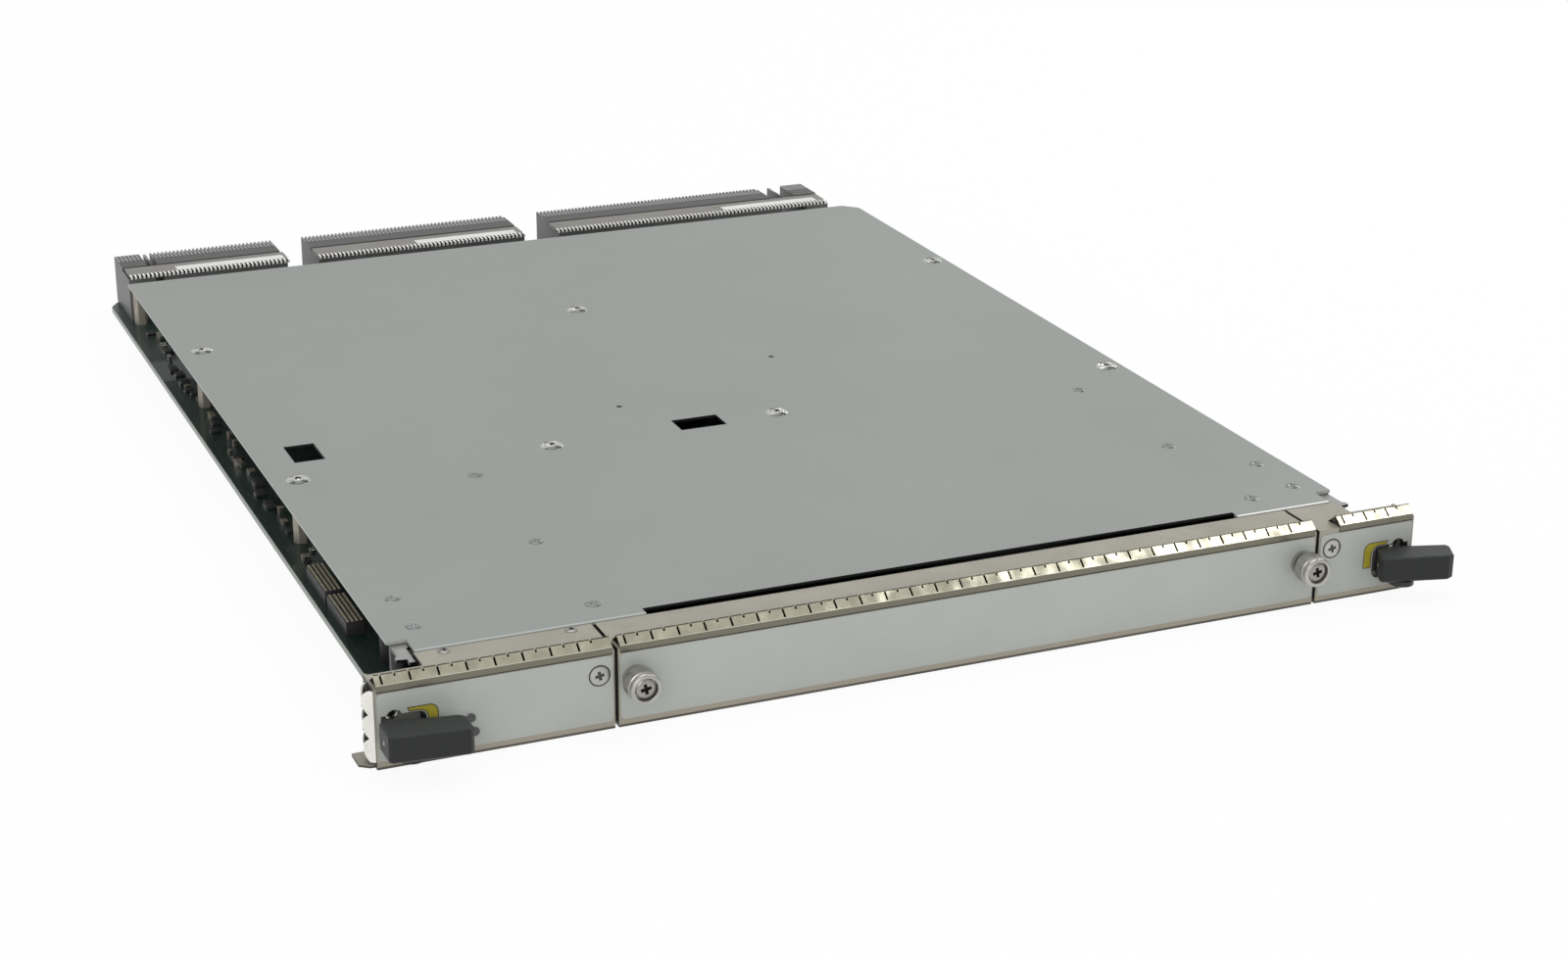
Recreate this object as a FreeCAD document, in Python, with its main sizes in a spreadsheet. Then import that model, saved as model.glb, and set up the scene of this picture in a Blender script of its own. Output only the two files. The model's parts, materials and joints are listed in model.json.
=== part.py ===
import FreeCAD, Part
import Sketcher
import math
import os
import re

V = FreeCAD.Vector

# Driving dimensions, in millimetres. x is measured from the panel's middle, y runs back from the
# panel's front face and z up from the underside of the bottom flange.
SIZES = {
    "panel_width": 420.0,
    "panel_height": 30.4,
    "sheet": 1.2,
    "overlay_thick": 0.25,
    "left_section": 87.2,
    "right_section": 44.2,
    "panel_gap": 1.4,
    "top_flange": 24.6,
    "bottom_flange": 12.0,
    "flange_notch_wide": 21.0,
    "flange_notch_front": 13.0,
    "end_return": 14.0,
    "ear_reach": 5.3,
    "overlay_low": 3.0,
    "overlay_gap": 0.3,
    "overlay_inset": 0.7,
    "overlay_corner": 2.0,
    "gasket_depth": 8.4,
    "gasket_fold": 1.2,
    "gasket_crest": 3.9,
    "gasket_crest_back": 3.5,
    "gasket_lip": 1.6,
    "gasket_sheet": 0.3,
    "finger_pitch": 10.1,
    "finger_slit": 0.8,
    "finger_notch": 1.2,
    "first_slit": 2.0,
    "right_gasket_start": 9.0,
    "end_gasket_bulge": 3.0,
    "end_gasket_deep": 8.4,
    "diamond_high": 6.0,
    "diamond_wide": 6.4,
    "board_inset": 14.5,
    "board_front": 3.0,
    "board_back": 557.0,
    "board_thick": 2.8,
    "board_corner": 7.0,
    "board_corner_wide": 4.2,
    "cover_left_inset": 14.4,
    "cover_right_inset": 15.5,
    "cover_top": 30.7,
    "cover_front": 24.9,
    "cover_setback": 59.0,
    "cover_notch_x": 7.4,
    "cover_notch_y": 11.1,
    "cover_chamfer": 7.0,
    "bay_slot_front": 29.7,
    "bay_slot_inset": 20.0,
    "standoff_flats": 5.5,
    "screw_shank": 3.0,
    "screw_head": 6.4,
    "screw_head_high": 0.9,
    "screw_grip": 7.0,
    "bracket_screw_head": 5.3,
    "rivet_head": 5.0,
    "rivet_shank": 3.0,
    "bare_post_inset": 22.8,
    "bare_post_back": 40.5,
    "bare_post_top": 22.0,
    "bracket_rivet": 27.2,
    "rivet_head_high": 0.25,
    "bay_rivet_front": 40.0,
    "bay_rivet_middle": 105.0,
    "bay_rivet_back": 182.0,
    "bracket_rivet_front": 45.5,
    "bracket_rivet_back": 72.5,
    "rail_gap": 1.0,
    "rail_inset": 4.9,
    "rail_back": 192.0,
    "rail_flange": 9.0,
    "nut_front": 10.0,
    "nut_deep": 6.0,
    "thumb_inset": 6.1,
    "thumb_height": 18.7,
    "knob_dia": 12.0,
    "knob_front": 12.0,
    "knob_back": 3.5,
    "knob_edge": 0.7,
    "knob_seat": 2.2,
    "driver_head": 7.6,
    "driver_head_high": 1.5,
    "ferrule_dia": 9.6,
    "ferrule_out": 2.0,
    "ferrule_sleeve": 8.0,
    "neck_dia": 6.0,
    "thread_dia": 4.0,
    "thread_end": 14.0,
    "washer_thick": 0.7,
    "running_gap": 0.3,
    "thumb_travel": 6.0,
    "lever_low": 9.3,
    "lever_high": 19.4,
    "pivot_inset": 10.0,
    "pivot_out": 8.8,
    "lever_reach": 19.6,
    "lever_back": 2.2,
    "lever_fore": 9.9,
    "lever_nose": 9.6,
    "nose_back": 6.4,
    "nose_fore": 6.9,
    "nose_corner": 1.0,
    "lever_corner": 2.0,
    "lever_fore_corner": 1.5,
    "opening_near": 2.0,
    "opening_far": 18.2,
    "opening_corner": 3.0,
    "lever_edge": 0.6,
    "pin_dia": 3.0,
    "pin_gap": 0.05,
    "pin_head": 4.8,
    "pin_head_high": 0.8,
    "lever_bore": 6.0,
    "tongue_thick": 2.1,
    "tongue_width": 9.6,
    "open_angle": 156.0,
    "bracket_web": 16.0,
    "bracket_arm": 18.0,
    "bracket_deep": 13.0,
    "bracket_seat": 4.6,
    "bracket_back": 80.0,
    "bracket_screw_inset": 6.7,
    "bracket_screw_high": 18.9,
    "left_screw_inset": 80.9,
    "left_screw_high": 21.4,
    "right_screw_inset": 37.5,
    "right_screw_high": 22.4,
    "panel_screw_shank": 3.4,
    "panel_screw_head": 7.0,
    "led_inset": 33.8,
    "led_high": 13.9,
    "led_dia": 3.2,
    "led_step_in": 1.2,
    "led_step_down": 5.4,
    "bracket_high": 22.0,
    "connector_overhang": 2.5,
    "connector_deep": 37.5,
    "connector_top": 27.3,
    "wafer_pitch": 2.0,
    "wafer_slot": 1.2,
    "wafer_deep": 3.4,
    "wafer_high": 2.2,
    "comb_pitch": 2.1,
    "comb_slot": 1.0,
    "comb_deep": 3.5,
    "cap_deep": 14.5,
    "cap_high": 1.4,
    "cap_gap": 2.4,
    "block_wide": 12.5,
    "left_block_inset": 19.2,
    "right_block_inset": 20.0,
    "left_block_gap": 5.3,
    "right_block_gap": 14.5,
    "centre_low": -94.0,
    "centre_high": 16.0,
    "left_row_gap": 16.3,
    "right_row_gap": 19.0,
    "cap_over": 0.8,
    "socket_dia": 7.2,
    "socket_deep": 24.0,
    "chip_side": 40.0,
    "chip_high": 3.0,
    "sink_side": 62.0,
    "sink_high": 17.0,
    "sink_pitch": 5.0,
    "sink_gap": 3.0,
    "brick_wide": 58.0,
    "brick_deep": 37.0,
    "brick_high": 12.0,
    "can_dia": 8.0,
    "can_high": 10.0,
    "can_row_left": -60.0,
    "can_row_back": 448.0,
    "can_row_pitch": 15.0,
    "side_can_inset": 27.0,
    "side_can_front": 60.0,
    "side_can_pitch": 18.0,
    "bay_connector_wide": 90.0,
    "bay_connector_deep": 14.0,
    "bay_connector_high": 14.0,
    "header_inset": 3.0,
    "header_wide": 7.0,
    "header_front": 105.0,
    "header_back": 165.0,
    "header_high": 6.0,
}

# Points on the plan, each kept as two sizes with a letter of its own: first those whose x is measured
# from the middle, then those whose x is measured in from one end
POINTS = {
    "inner_screw": [(-5.6, 376.5), (-77.4, 203.0), (25.5, 205.5)],
    "window_low": [(-20.5, 200.0)],
    "window_high": [(0.0, 213.0)],
    "sink": [(-118.0, 300.0), (-15.0, 296.0), (92.0, 300.0)],
    "brick": [(-120.0, 432.0), (120.0, 432.0)],
    "left_screw": [(25.4, 382.0), (25.3, 204.0)],
    "right_screw": [(22.6, 386.0), (22.7, 206.0)],
    "left_window": [(28.9, 223.5), (41.7, 243.5)],
}
PLACES = {}
for family, points in POINTS.items():
    PLACES[family] = []
    for letter, (x, y) in zip("abc", points):
        names = (f"{family}_{letter}_x", f"{family}_{letter}_y")
        SIZES.update(zip(names, (x, y)))
        PLACES[family].append(names)

doc = FreeCAD.newDocument("switch_control_board")
sheet = doc.addObject("Spreadsheet::Sheet", "Sizes")
for row, (alias, value) in enumerate(SIZES.items(), start=1):
    sheet.set(f"A{row}", alias)
    sheet.set(f"B{row}", str(value))
    sheet.setAlias(f"B{row}", alias)
scratch = doc.addObject("Spreadsheet::Sheet", "Scratch")
doc.recompute()


# Helpers that bind every size and place to the sheet

def formula(text):
    """An expression with each size's name pointing at its cell."""
    return re.sub(r"[a-z_]+", lambda m: "Sizes." + m[0] if m[0] in SIZES else m[0], str(text))


def value(text):
    """The number that an expression comes to, worked out in a cell of its own."""
    scratch.set("A1", "=" + formula(text))
    scratch.recompute()
    number = scratch.get("A1")
    return float(getattr(number, "Value", number))


def bind(item, prop, text):
    item.setExpression(prop, formula(text))


def place(item, x, y, z):
    for axis, text in zip("xyz", (x, y, z)):
        bind(item, f"Placement.Base.{axis}", text)


def box(name, x, y, z):
    """A block between pairs of limits along x, y and z."""
    item = doc.addObject("Part::Box", name)
    for prop, (low, high) in zip(("Length", "Width", "Height"), (x, y, z)):
        bind(item, prop, f"({high}) - ({low})")
    place(item, x[0], y[0], z[0])
    return item


AXES = {"X": V(1, 0, 0), "Y": V(0, 1, 0), "Z": V(0, 0, 1)}


def rod(name, axis, start, dia, length):
    """A round bar from a start point along one axis."""
    item = doc.addObject("Part::Cylinder", name)
    item.Placement = FreeCAD.Placement(V(), FreeCAD.Rotation(V(0, 0, 1), AXES[axis]))
    bind(item, "Radius", f"({dia}) / 2")
    bind(item, "Height", length)
    place(item, *start)
    return item


def group(name, items):
    """Separate solids that share one node."""
    item = doc.addObject("Part::Compound", name)
    item.Links = items
    return item


def fuse(name, items):
    item = doc.addObject("Part::MultiFuse", name)
    item.Shapes = items
    item.Refine = True
    return item


def cut(name, base, tools):
    item = doc.addObject("Part::Cut", name)
    item.Base = base
    item.Tool = tools[0] if len(tools) == 1 else fuse(name + "_tools", tools)
    item.Refine = True
    return item


def sketch(body, name, plane, offset):
    """An empty sketch on one of the body's own planes, moved along that plane's normal."""
    item = body.newObject("Sketcher::SketchObject", name)
    support = next(f for f in body.Origin.OriginFeatures if f.Role == plane + "_Plane")
    item.AttachmentSupport = [(support, "")]
    item.MapMode = "FlatFace"
    bind(item, "AttachmentOffset.Base.z", offset)
    return item


def dimension(drawing, kind, *where, text):
    index = drawing.addConstraint(Sketcher.Constraint(kind, *where, value(text)))
    drawing.setExpression(f"Constraints[{index}]", formula(text))


def arc(drawing, start, end, bulge):
    """An arc that bulges to the right of the way from start to end, or to the left if negative."""
    chord = end - start
    radius = abs(bulge) / 2 + chord.Length ** 2 / (8 * abs(bulge))
    right = V(chord.y, -chord.x, 0).normalize()
    centre = (start + end) / 2 + right * math.copysign(1, bulge) * (abs(bulge) - radius)
    turns = [math.atan2(p.y - centre.y, p.x - centre.x) for p in (start, end)]
    if bulge < 0:
        turns.reverse()
    index = drawing.addGeometry(Part.ArcOfCircle(Part.Circle(centre, V(0, 0, 1), radius), *turns))
    return (index, 1, 2) if bulge > 0 else (index, 2, 1)


def outline(drawing, points):
    """A closed outline bound to expressions. A point's third value starts an arc of that bulge."""
    corners = [V(value(point[0]), value(point[1]), 0) for point in points]
    edges = []
    for point, start, end in zip(points, corners, corners[1:] + corners[:1]):
        if len(point) == 3:
            edges.append(arc(drawing, start, end, value(point[2])))
        else:
            edges.append((drawing.addGeometry(Part.LineSegment(start, end)), 1, 2))
    for i, point in enumerate(points):
        index, first, last = edges[i]
        after, following = edges[(i + 1) % len(points)], points[(i + 1) % len(points)]
        drawing.addConstraint(Sketcher.Constraint("Coincident", index, last, after[0], after[1]))
        dimension(drawing, "DistanceX", -1, 1, index, first, text=point[0])
        dimension(drawing, "DistanceY", -1, 1, index, first, text=point[1])
        if len(point) == 3:
            bulge = f"abs({point[2]})"
            chord = f"(({following[0]}) - ({point[0]}))^2 + (({following[1]}) - ({point[1]}))^2"
            dimension(drawing, "Radius", index, text=f"{bulge} / 2 + ({chord}) / (8 * {bulge})")


def circle(drawing, x, y, dia):
    index = drawing.addGeometry(Part.Circle(V(value(x), value(y), 0), V(0, 0, 1), value(dia) / 2))
    dimension(drawing, "DistanceX", -1, 1, index, 3, text=x)
    dimension(drawing, "DistanceY", -1, 1, index, 3, text=y)
    dimension(drawing, "Radius", index, text=f"({dia}) / 2")


def rectangle(drawing, x, y):
    outline(drawing, [(x[0], y[0]), (x[1], y[0]), (x[1], y[1]), (x[0], y[1])])


def padded(name, plane, points, offset, length):
    """A body made by padding one closed outline."""
    body = doc.addObject("PartDesign::Body", name)
    drawing = sketch(body, name + "_outline", plane, offset)
    outline(drawing, points)
    pad = body.newObject("PartDesign::Pad", name + "_pad")
    pad.Profile = drawing
    bind(pad, "Length", length)
    doc.recompute()
    return body


def pocketed(body, name, plane, offset, draw, depth=None):
    """A pocket, against the plane's normal, of whatever draw() puts in its sketch."""
    before = body.Shape.Volume
    drawing = sketch(body, name, plane, offset)
    draw(drawing)
    pocket = body.newObject("PartDesign::Pocket", name + "_pocket")
    pocket.Profile = drawing
    if depth is None:
        pocket.Type = "ThroughAll"
    else:
        bind(pocket, "Length", depth)
    doc.recompute()
    if body.Shape.Volume >= before:
        raise RuntimeError(f"{name} cuts nothing")
    return pocket


def dressed(body, kind, picked, prop, size):
    """A fillet or chamfer on those edges of a body that picked() accepts."""
    edges = [f"Edge{i}" for i, edge in enumerate(body.Shape.Edges, start=1) if picked(edge)]
    base = body.Tip
    dressing = body.newObject("PartDesign::" + kind, f"{body.Name}_{kind.lower()}")
    dressing.Base = (base, edges)
    bind(dressing, prop, size)
    doc.recompute()


def repeated(body, pocket, pitch, length):
    """Copies of a pocket along x, a pitch apart, over a length."""
    pattern = body.newObject("PartDesign::LinearPattern", pocket.Name + "_row")
    pattern.Originals = [pocket]
    along = next(f for f in body.Origin.OriginFeatures if f.Role == "X_Axis")
    pattern.Direction = (along, [""])
    count = f"floor(({length}) / {pitch})"
    bind(pattern, "Occurrences", count)
    bind(pattern, "Length", f"({count} - 1) * {pitch}")
    body.Tip = pattern
    return body


NODES = []


def node(item, name):
    """Marks a finished piece, whose label names its file."""
    item.Label = name
    NODES.append(item)
    return item


# Heights and edges that several pieces share
BOARD_TOP = "(sheet + board_thick)"
BOARD_HALF = "(panel_width / 2 - board_inset)"
COVER_LEFT = "(cover_left_inset - panel_width / 2)"
COVER_RIGHT = "(panel_width / 2 - cover_right_inset)"
COVER_BACK = "(board_back - cover_setback)"
COVER_LOW = "(cover_top - sheet)"
FLANGE_LOW = "(panel_height - sheet)"
PANEL_BACK = "(overlay_thick + sheet)"
HALF = "(panel_width / 2)"
LEFT_EDGE = "(left_section - panel_width / 2 - panel_gap / 2)"
BAY_LEFT = "(left_section - panel_width / 2 + panel_gap / 2)"
BAY_RIGHT = "(panel_width / 2 - right_section - panel_gap / 2)"
RIGHT_EDGE = "(panel_width / 2 - right_section + panel_gap / 2)"
TONGUE_TOP = "(lever_low - running_gap)"
TONGUE_LOW = "(lever_low - running_gap - tongue_thick)"
SIDES = {"left": -1, "right": 1}
TINY = 1e-6

def from_end(side, inset):
    """The x that lies an inset in from the panel's left or right end."""
    return f"{SIDES[side]} * ({HALF} - ({inset}))"


# Cover screws with the posts below them, a bare post, the lid's windows and the rows of flush rivets
COVER_SCREWS = list(PLACES["inner_screw"])
for side in SIDES:
    COVER_SCREWS += [(from_end(side, x), y) for x, y in PLACES[f"{side}_screw"]]
BARE_POST = (from_end("left", "bare_post_inset"), "board_back - bare_post_back")
STANDOFFS = [(x, y, COVER_LOW) for x, y in COVER_SCREWS] + [(*BARE_POST, "bare_post_top")]
WINDOWS = [
    [PLACES["window_low"][0], PLACES["window_high"][0]],
    [(from_end("left", x), y) for x, y in PLACES["left_window"]],
]
BAY_RIVET_ROWS = ("bay_rivet_front", "bay_rivet_middle", "bay_rivet_back")
BRACKET_RIVET_ROWS = ("bracket_rivet_front", "bracket_rivet_back")


def span(side, near, far):
    """Limits in x between two insets from one end, in rising order."""
    limits = (from_end(side, near), from_end(side, far))
    return limits if side == "left" else limits[::-1]


def around(middle, size):
    """Limits of a size about a middle."""
    return (f"{middle} - {size} / 2", f"{middle} + {size} / 2")


def thumb_x(side):
    return f"({BAY_LEFT} + thumb_inset)" if side == "left" else f"({BAY_RIGHT} - thumb_inset)"


def rail_span(side, near, far):
    """Limits in x between two distances in from one end of the bay."""
    if side == "left":
        return (f"{BAY_LEFT} + {near}", f"{BAY_LEFT} + {far}")
    return (f"{BAY_RIGHT} - ({far})", f"{BAY_RIGHT} - ({near})")


def rail_rivet_x(side):
    return f"{BAY_LEFT} + rail_inset" if side == "left" else f"{BAY_RIGHT} - rail_inset"


# The board and what fixes the cover to it

def main_board():
    """The circuit board, with its rear corners cut off and a hole below each post."""
    corners = [
        (f"-{BOARD_HALF}", "board_front"),
        (BOARD_HALF, "board_front"),
        (BOARD_HALF, "board_back - board_corner"),
        (f"{BOARD_HALF} - board_corner_wide", "board_back"),
        (f"board_corner_wide - {BOARD_HALF}", "board_back"),
        (f"-{BOARD_HALF}", "board_back - board_corner"),
    ]
    body = padded("main_board", "XY", corners, "sheet", "board_thick")

    def holes(drawing):
        for x, y, _ in STANDOFFS:
            circle(drawing, x, y, "screw_shank + 2 * running_gap")

    pocketed(body, "board_holes", "XY", "panel_height", holes)
    return body


def top_cover():
    """The flat lid, notched at its front corners and slotted above the bay."""
    notch = "cover_front + cover_notch_y"
    corners = [
        (COVER_LEFT, notch),
        (f"{COVER_LEFT} + cover_notch_x", notch),
        (f"{COVER_LEFT} + cover_notch_x", "cover_front"),
        (f"{BAY_LEFT} + bay_slot_inset", "cover_front"),
        (f"{BAY_LEFT} + bay_slot_inset", "bay_slot_front"),
        (f"{BAY_RIGHT} - bay_slot_inset", "bay_slot_front"),
        (f"{BAY_RIGHT} - bay_slot_inset", "cover_front"),
        (f"{COVER_RIGHT} - cover_notch_x", "cover_front"),
        (f"{COVER_RIGHT} - cover_notch_x", notch),
        (COVER_RIGHT, notch),
        (COVER_RIGHT, f"{COVER_BACK} - cover_chamfer"),
        (f"{COVER_RIGHT} - cover_chamfer", COVER_BACK),
        (COVER_LEFT, COVER_BACK),
    ]
    body = padded("top_cover", "XY", corners, COVER_LOW, "sheet")

    def holes(drawing):
        for x, y in COVER_SCREWS:
            circle(drawing, x, y, "screw_shank")
        for side in SIDES:
            for y in BAY_RIVET_ROWS:
                circle(drawing, rail_rivet_x(side), y, "rivet_shank")
            for y in BRACKET_RIVET_ROWS:
                circle(drawing, from_end(side, "bracket_rivet"), y, "rivet_shank")
        for low, high in WINDOWS:
            rectangle(drawing, *zip(low, high))

    pocketed(body, "cover_holes", "XY", "cover_top + sheet", holes)
    return body


def posts():
    """Hexagonal posts on the board, all but one up to the lid, each with a threaded bore."""
    solids = []
    for i, (x, y, top) in enumerate(STANDOFFS):
        hexagon = doc.addObject("Part::Prism", f"post_{i}_hexagon")
        hexagon.Polygon = 6
        bind(hexagon, "Circumradius", "standoff_flats / 2 / cos(30 deg)")
        bind(hexagon, "Height", f"{top} - {BOARD_TOP}")
        place(hexagon, x, y, BOARD_TOP)
        bore = rod(f"post_{i}_bore", "Z", (x, y, BOARD_TOP), "screw_shank", f"{top} - {BOARD_TOP}")
        solids.append(cut(f"post_{i}", hexagon, [bore]))
    return group("cover_standoffs", solids)


def cover_screws():
    solids = []
    for i, (x, y) in enumerate(COVER_SCREWS):
        head = rod(f"cover_screw_{i}_head", "Z", (x, y, "cover_top"), "screw_head", "screw_head_high")
        low = "cover_top - screw_grip"
        shank = rod(f"cover_screw_{i}_shank", "Z", (x, y, low), "screw_shank", "screw_grip")
        solids.append(fuse(f"cover_screw_{i}", [head, shank]))
    return group("cover_screws", solids)


def board_screws():
    """Screws up into the posts, whose low heads the board lies on."""
    solids = []
    for i, (x, y, _) in enumerate(STANDOFFS):
        head = rod(f"board_screw_{i}_head", "Z", (x, y, 0), "screw_head", "sheet")
        shank = rod(f"board_screw_{i}_shank", "Z", (x, y, "sheet"), "screw_shank", "screw_grip")
        solids.append(fuse(f"board_screw_{i}", [head, shank]))
    return group("board_screws", solids)


def rivet(name, x, y):
    """A flush rivet through the lid and the sheet below it."""
    head = rod(name + "_head", "Z", (x, y, "cover_top"), "rivet_head", "rivet_head_high")
    shank = rod(name + "_shank", "Z", (x, y, "cover_top - 2 * sheet"), "rivet_shank", "2 * sheet")
    return fuse(name, [head, shank])


def bay_rivets():
    places = [(side, y) for side in SIDES for y in BAY_RIVET_ROWS]
    return group("bay_rivets", [rivet(f"{y}_{side}", rail_rivet_x(side), y) for side, y in places])


def bracket_rivets():
    places = [(side, y) for side in SIDES for y in BRACKET_RIVET_ROWS]
    solids = [rivet(f"{y}_{side}", from_end(side, "bracket_rivet"), y) for side, y in places]
    return group("bracket_rivets", solids)


def bay_rail(side):
    """A channel along one side of the bay, with the nut of a thumbscrew at its front."""
    name = f"bay_rail_{side}"
    run = ("cover_front", "rail_back")
    nose = ("nut_front", "cover_front")
    wall_x = rail_span(side, "rail_gap", "(rail_gap + sheet)")
    flange_x = rail_span(side, "rail_gap", "(rail_gap + rail_flange)")
    parts = [
        box(name + "_wall", wall_x, run, (BOARD_TOP, COVER_LOW)),
        box(name + "_top", flange_x, run, (f"{COVER_LOW} - sheet", COVER_LOW)),
        box(name + "_foot", flange_x, run, (BOARD_TOP, f"{BOARD_TOP} + sheet")),
        box(name + "_nose", wall_x, nose, (BOARD_TOP, "panel_height - 2 * sheet")),
        box(name + "_nut", flange_x, ("nut_front", "nut_front + nut_deep"),
            ("thumb_height - knob_dia / 2", "thumb_height + knob_dia / 2")),
    ]
    tools = [
        rod(name + "_thread", "Y", (thumb_x(side), "nut_front", "thumb_height"),
            "thread_dia + 2 * running_gap", "nut_deep"),
    ]
    for y in BAY_RIVET_ROWS:
        start = (rail_rivet_x(side), y, f"{COVER_LOW} - sheet")
        tools.append(rod(f"{name}_hole_{y}", "Z", start, "rivet_shank", "sheet"))
    return cut(name, fuse(name + "_sheet", parts), tools)


# The front panel's three folded sections

COUNTERSUNK = {side: (f"{side}_screw_inset", f"{side}_screw_high") for side in SIDES}
LED_PLACES = [("led_inset", "led_high"), ("led_inset + led_step_in", "led_high - led_step_down")]


def channel(name, x):
    """A folded section: front wall, top flange and bottom flange, along x."""
    profile = [
        ("overlay_thick", 0),
        ("bottom_flange", 0),
        ("bottom_flange", "sheet"),
        (PANEL_BACK, "sheet"),
        (PANEL_BACK, FLANGE_LOW),
        ("top_flange", FLANGE_LOW),
        ("top_flange", "panel_height"),
        ("overlay_thick", "panel_height"),
    ]
    return padded(name, "YZ", profile, x[0], f"({x[1]}) - ({x[0]})")


def end_holes(drawing, side):
    """Holes of an end section: a screw, the lever's opening and, on the left, the lamps."""
    inset, height = COUNTERSUNK[side]
    circle(drawing, from_end(side, inset), height, "panel_screw_shank")
    near, far = from_end(side, "opening_near"), from_end(side, "opening_far")
    corner = from_end(side, "opening_far - opening_corner")
    low, high = f"({TONGUE_LOW} - running_gap)", "(lever_high + 2 * running_gap)"
    bulge = f"{-SIDES[side]} * opening_corner * (1 - cos(45 deg))"
    outline(drawing, [
        (near, low),
        (corner, low, bulge),
        (far, f"{low} + opening_corner"),
        (far, f"{high} - opening_corner", bulge),
        (corner, high),
        (near, high),
    ])
    if side == "left":
        for led_x, led_z in LED_PLACES:
            circle(drawing, from_end(side, led_x), led_z, "led_dia")


def bay_holes(drawing):
    for end in SIDES:
        circle(drawing, thumb_x(end), "thumb_height", "ferrule_sleeve")


def front_holes(body, side):
    """The holes through one section's front, with room for a bracket screw at an opening's top edge."""
    if side == "bay":
        pocketed(body, body.Name + "_holes", "XZ", "sheet", bay_holes)
        return
    pocketed(body, body.Name + "_holes", "XZ", "sheet", lambda drawing: end_holes(drawing, side))
    x = from_end(side, "bracket_screw_inset")
    room = "bracket_screw_head + 2 * running_gap"
    pocketed(body, body.Name + "_room", "XZ", "sheet", lambda d: circle(d, x, "bracket_screw_high", room))


SECTIONS = {
    "left": (f"-{HALF}", LEFT_EDGE),
    "bay": (BAY_LEFT, BAY_RIGHT),
    "right": (RIGHT_EDGE, HALF),
}


def end_panel(side):
    """An end section, with a folded end wall and a guide ear at its foot."""
    name = f"{side}_panel"
    body = channel(name, SECTIONS[side])
    front_holes(body, side)

    def flange_notch(drawing):
        x = span(side, "-sheet", "flange_notch_wide")
        rectangle(drawing, x, ("flange_notch_front", "top_flange + sheet"))

    pocketed(body, name + "_notch", "XY", "panel_height", flange_notch, "sheet")
    wall = sketch(body, name + "_wall", "YZ", span(side, 0, "sheet")[0])
    rectangle(wall, (PANEL_BACK, "end_return"), (0, "panel_height"))
    fold = body.newObject("PartDesign::Pad", name + "_fold")
    fold.Profile = wall
    bind(fold, "Length", "sheet")
    ear = sketch(body, name + "_ear", "XY", 0)
    outer = from_end(side, "-ear_reach")
    outline(ear, [
        (from_end(side, "sheet"), "overlay_thick + 2 * sheet"),
        (from_end(side, "-ear_reach / 3"), "overlay_thick + 2 * sheet"),
        (outer, "overlay_thick + 2 * sheet + ear_reach / 2"),
        (outer, "end_return"),
        (from_end(side, "sheet"), "end_return"),
    ])
    plate = body.newObject("PartDesign::Pad", name + "_plate")
    plate.Profile = ear
    bind(plate, "Length", "sheet")
    return body


def bay_cover():
    """The blank that closes the bay, held by two thumbscrews."""
    body = channel("bay_cover", SECTIONS["bay"])
    front_holes(body, "bay")
    return body


def overlay(side):
    """The thin face label of one section, with the same holes as its panel."""
    low, high = SECTIONS[side]
    x = (f"({low}) + overlay_inset", f"({high}) - overlay_inset")
    z = ("overlay_low", "panel_height - gasket_lip - overlay_gap")
    corners = [(x[0], z[0]), (x[1], z[0]), (x[1], z[1]), (x[0], z[1])]
    body = padded(f"{side}_overlay", "XZ", corners, "-overlay_thick", "overlay_thick")
    dressed(body, "Fillet", lambda edge: edge.BoundBox.YLength > TINY, "Radius", "overlay_corner")
    front_holes(body, side)
    return body


# Spring finger gaskets

DIAMOND_STEPS = 3


def finger_gasket(side):
    """A clip-on strip of slanted fingers, parted by slits and each notched at its crest."""
    low, high = SECTIONS[side]
    start = f"{low} + right_gasket_start" if side == "right" else f"{low} + overlay_inset"
    end = f"{high} - overlay_inset"
    base = "panel_height"
    front = "overlay_thick - gasket_sheet"
    fold = f"{base} + gasket_fold"
    crest = f"{base} + gasket_crest"
    profile = [
        (front, f"{base} - gasket_lip"),
        ("overlay_thick", f"{base} - gasket_lip"),
        ("overlay_thick", f"{fold} - gasket_sheet / 2"),
        ("gasket_crest_back", f"{crest} - 1.5 * gasket_sheet"),
        ("gasket_depth - 1.5 * gasket_sheet", base),
        ("gasket_depth", base),
        ("gasket_crest_back + gasket_sheet", crest),
        ("gasket_crest_back", crest),
        (front, fold),
    ]
    name = f"{side}_gasket"
    length = f"({end}) - ({start})"
    body = padded(name, "YZ", profile, start, length)

    def slits(drawing):
        first = f"({start}) + first_slit"
        rectangle(drawing, (first, f"{first} + finger_slit"), ("overlay_thick", "gasket_depth + sheet"))
        half = f"{first} + finger_pitch / 2"
        notch_front = "gasket_crest_back - finger_notch"
        rectangle(drawing, (half, f"{half} + finger_slit"), (notch_front, "gasket_depth + sheet"))

    pocket = pocketed(body, name + "_slits", "XY", f"{crest} + sheet", slits)
    return repeated(body, pocket, "finger_pitch", length)


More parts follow.
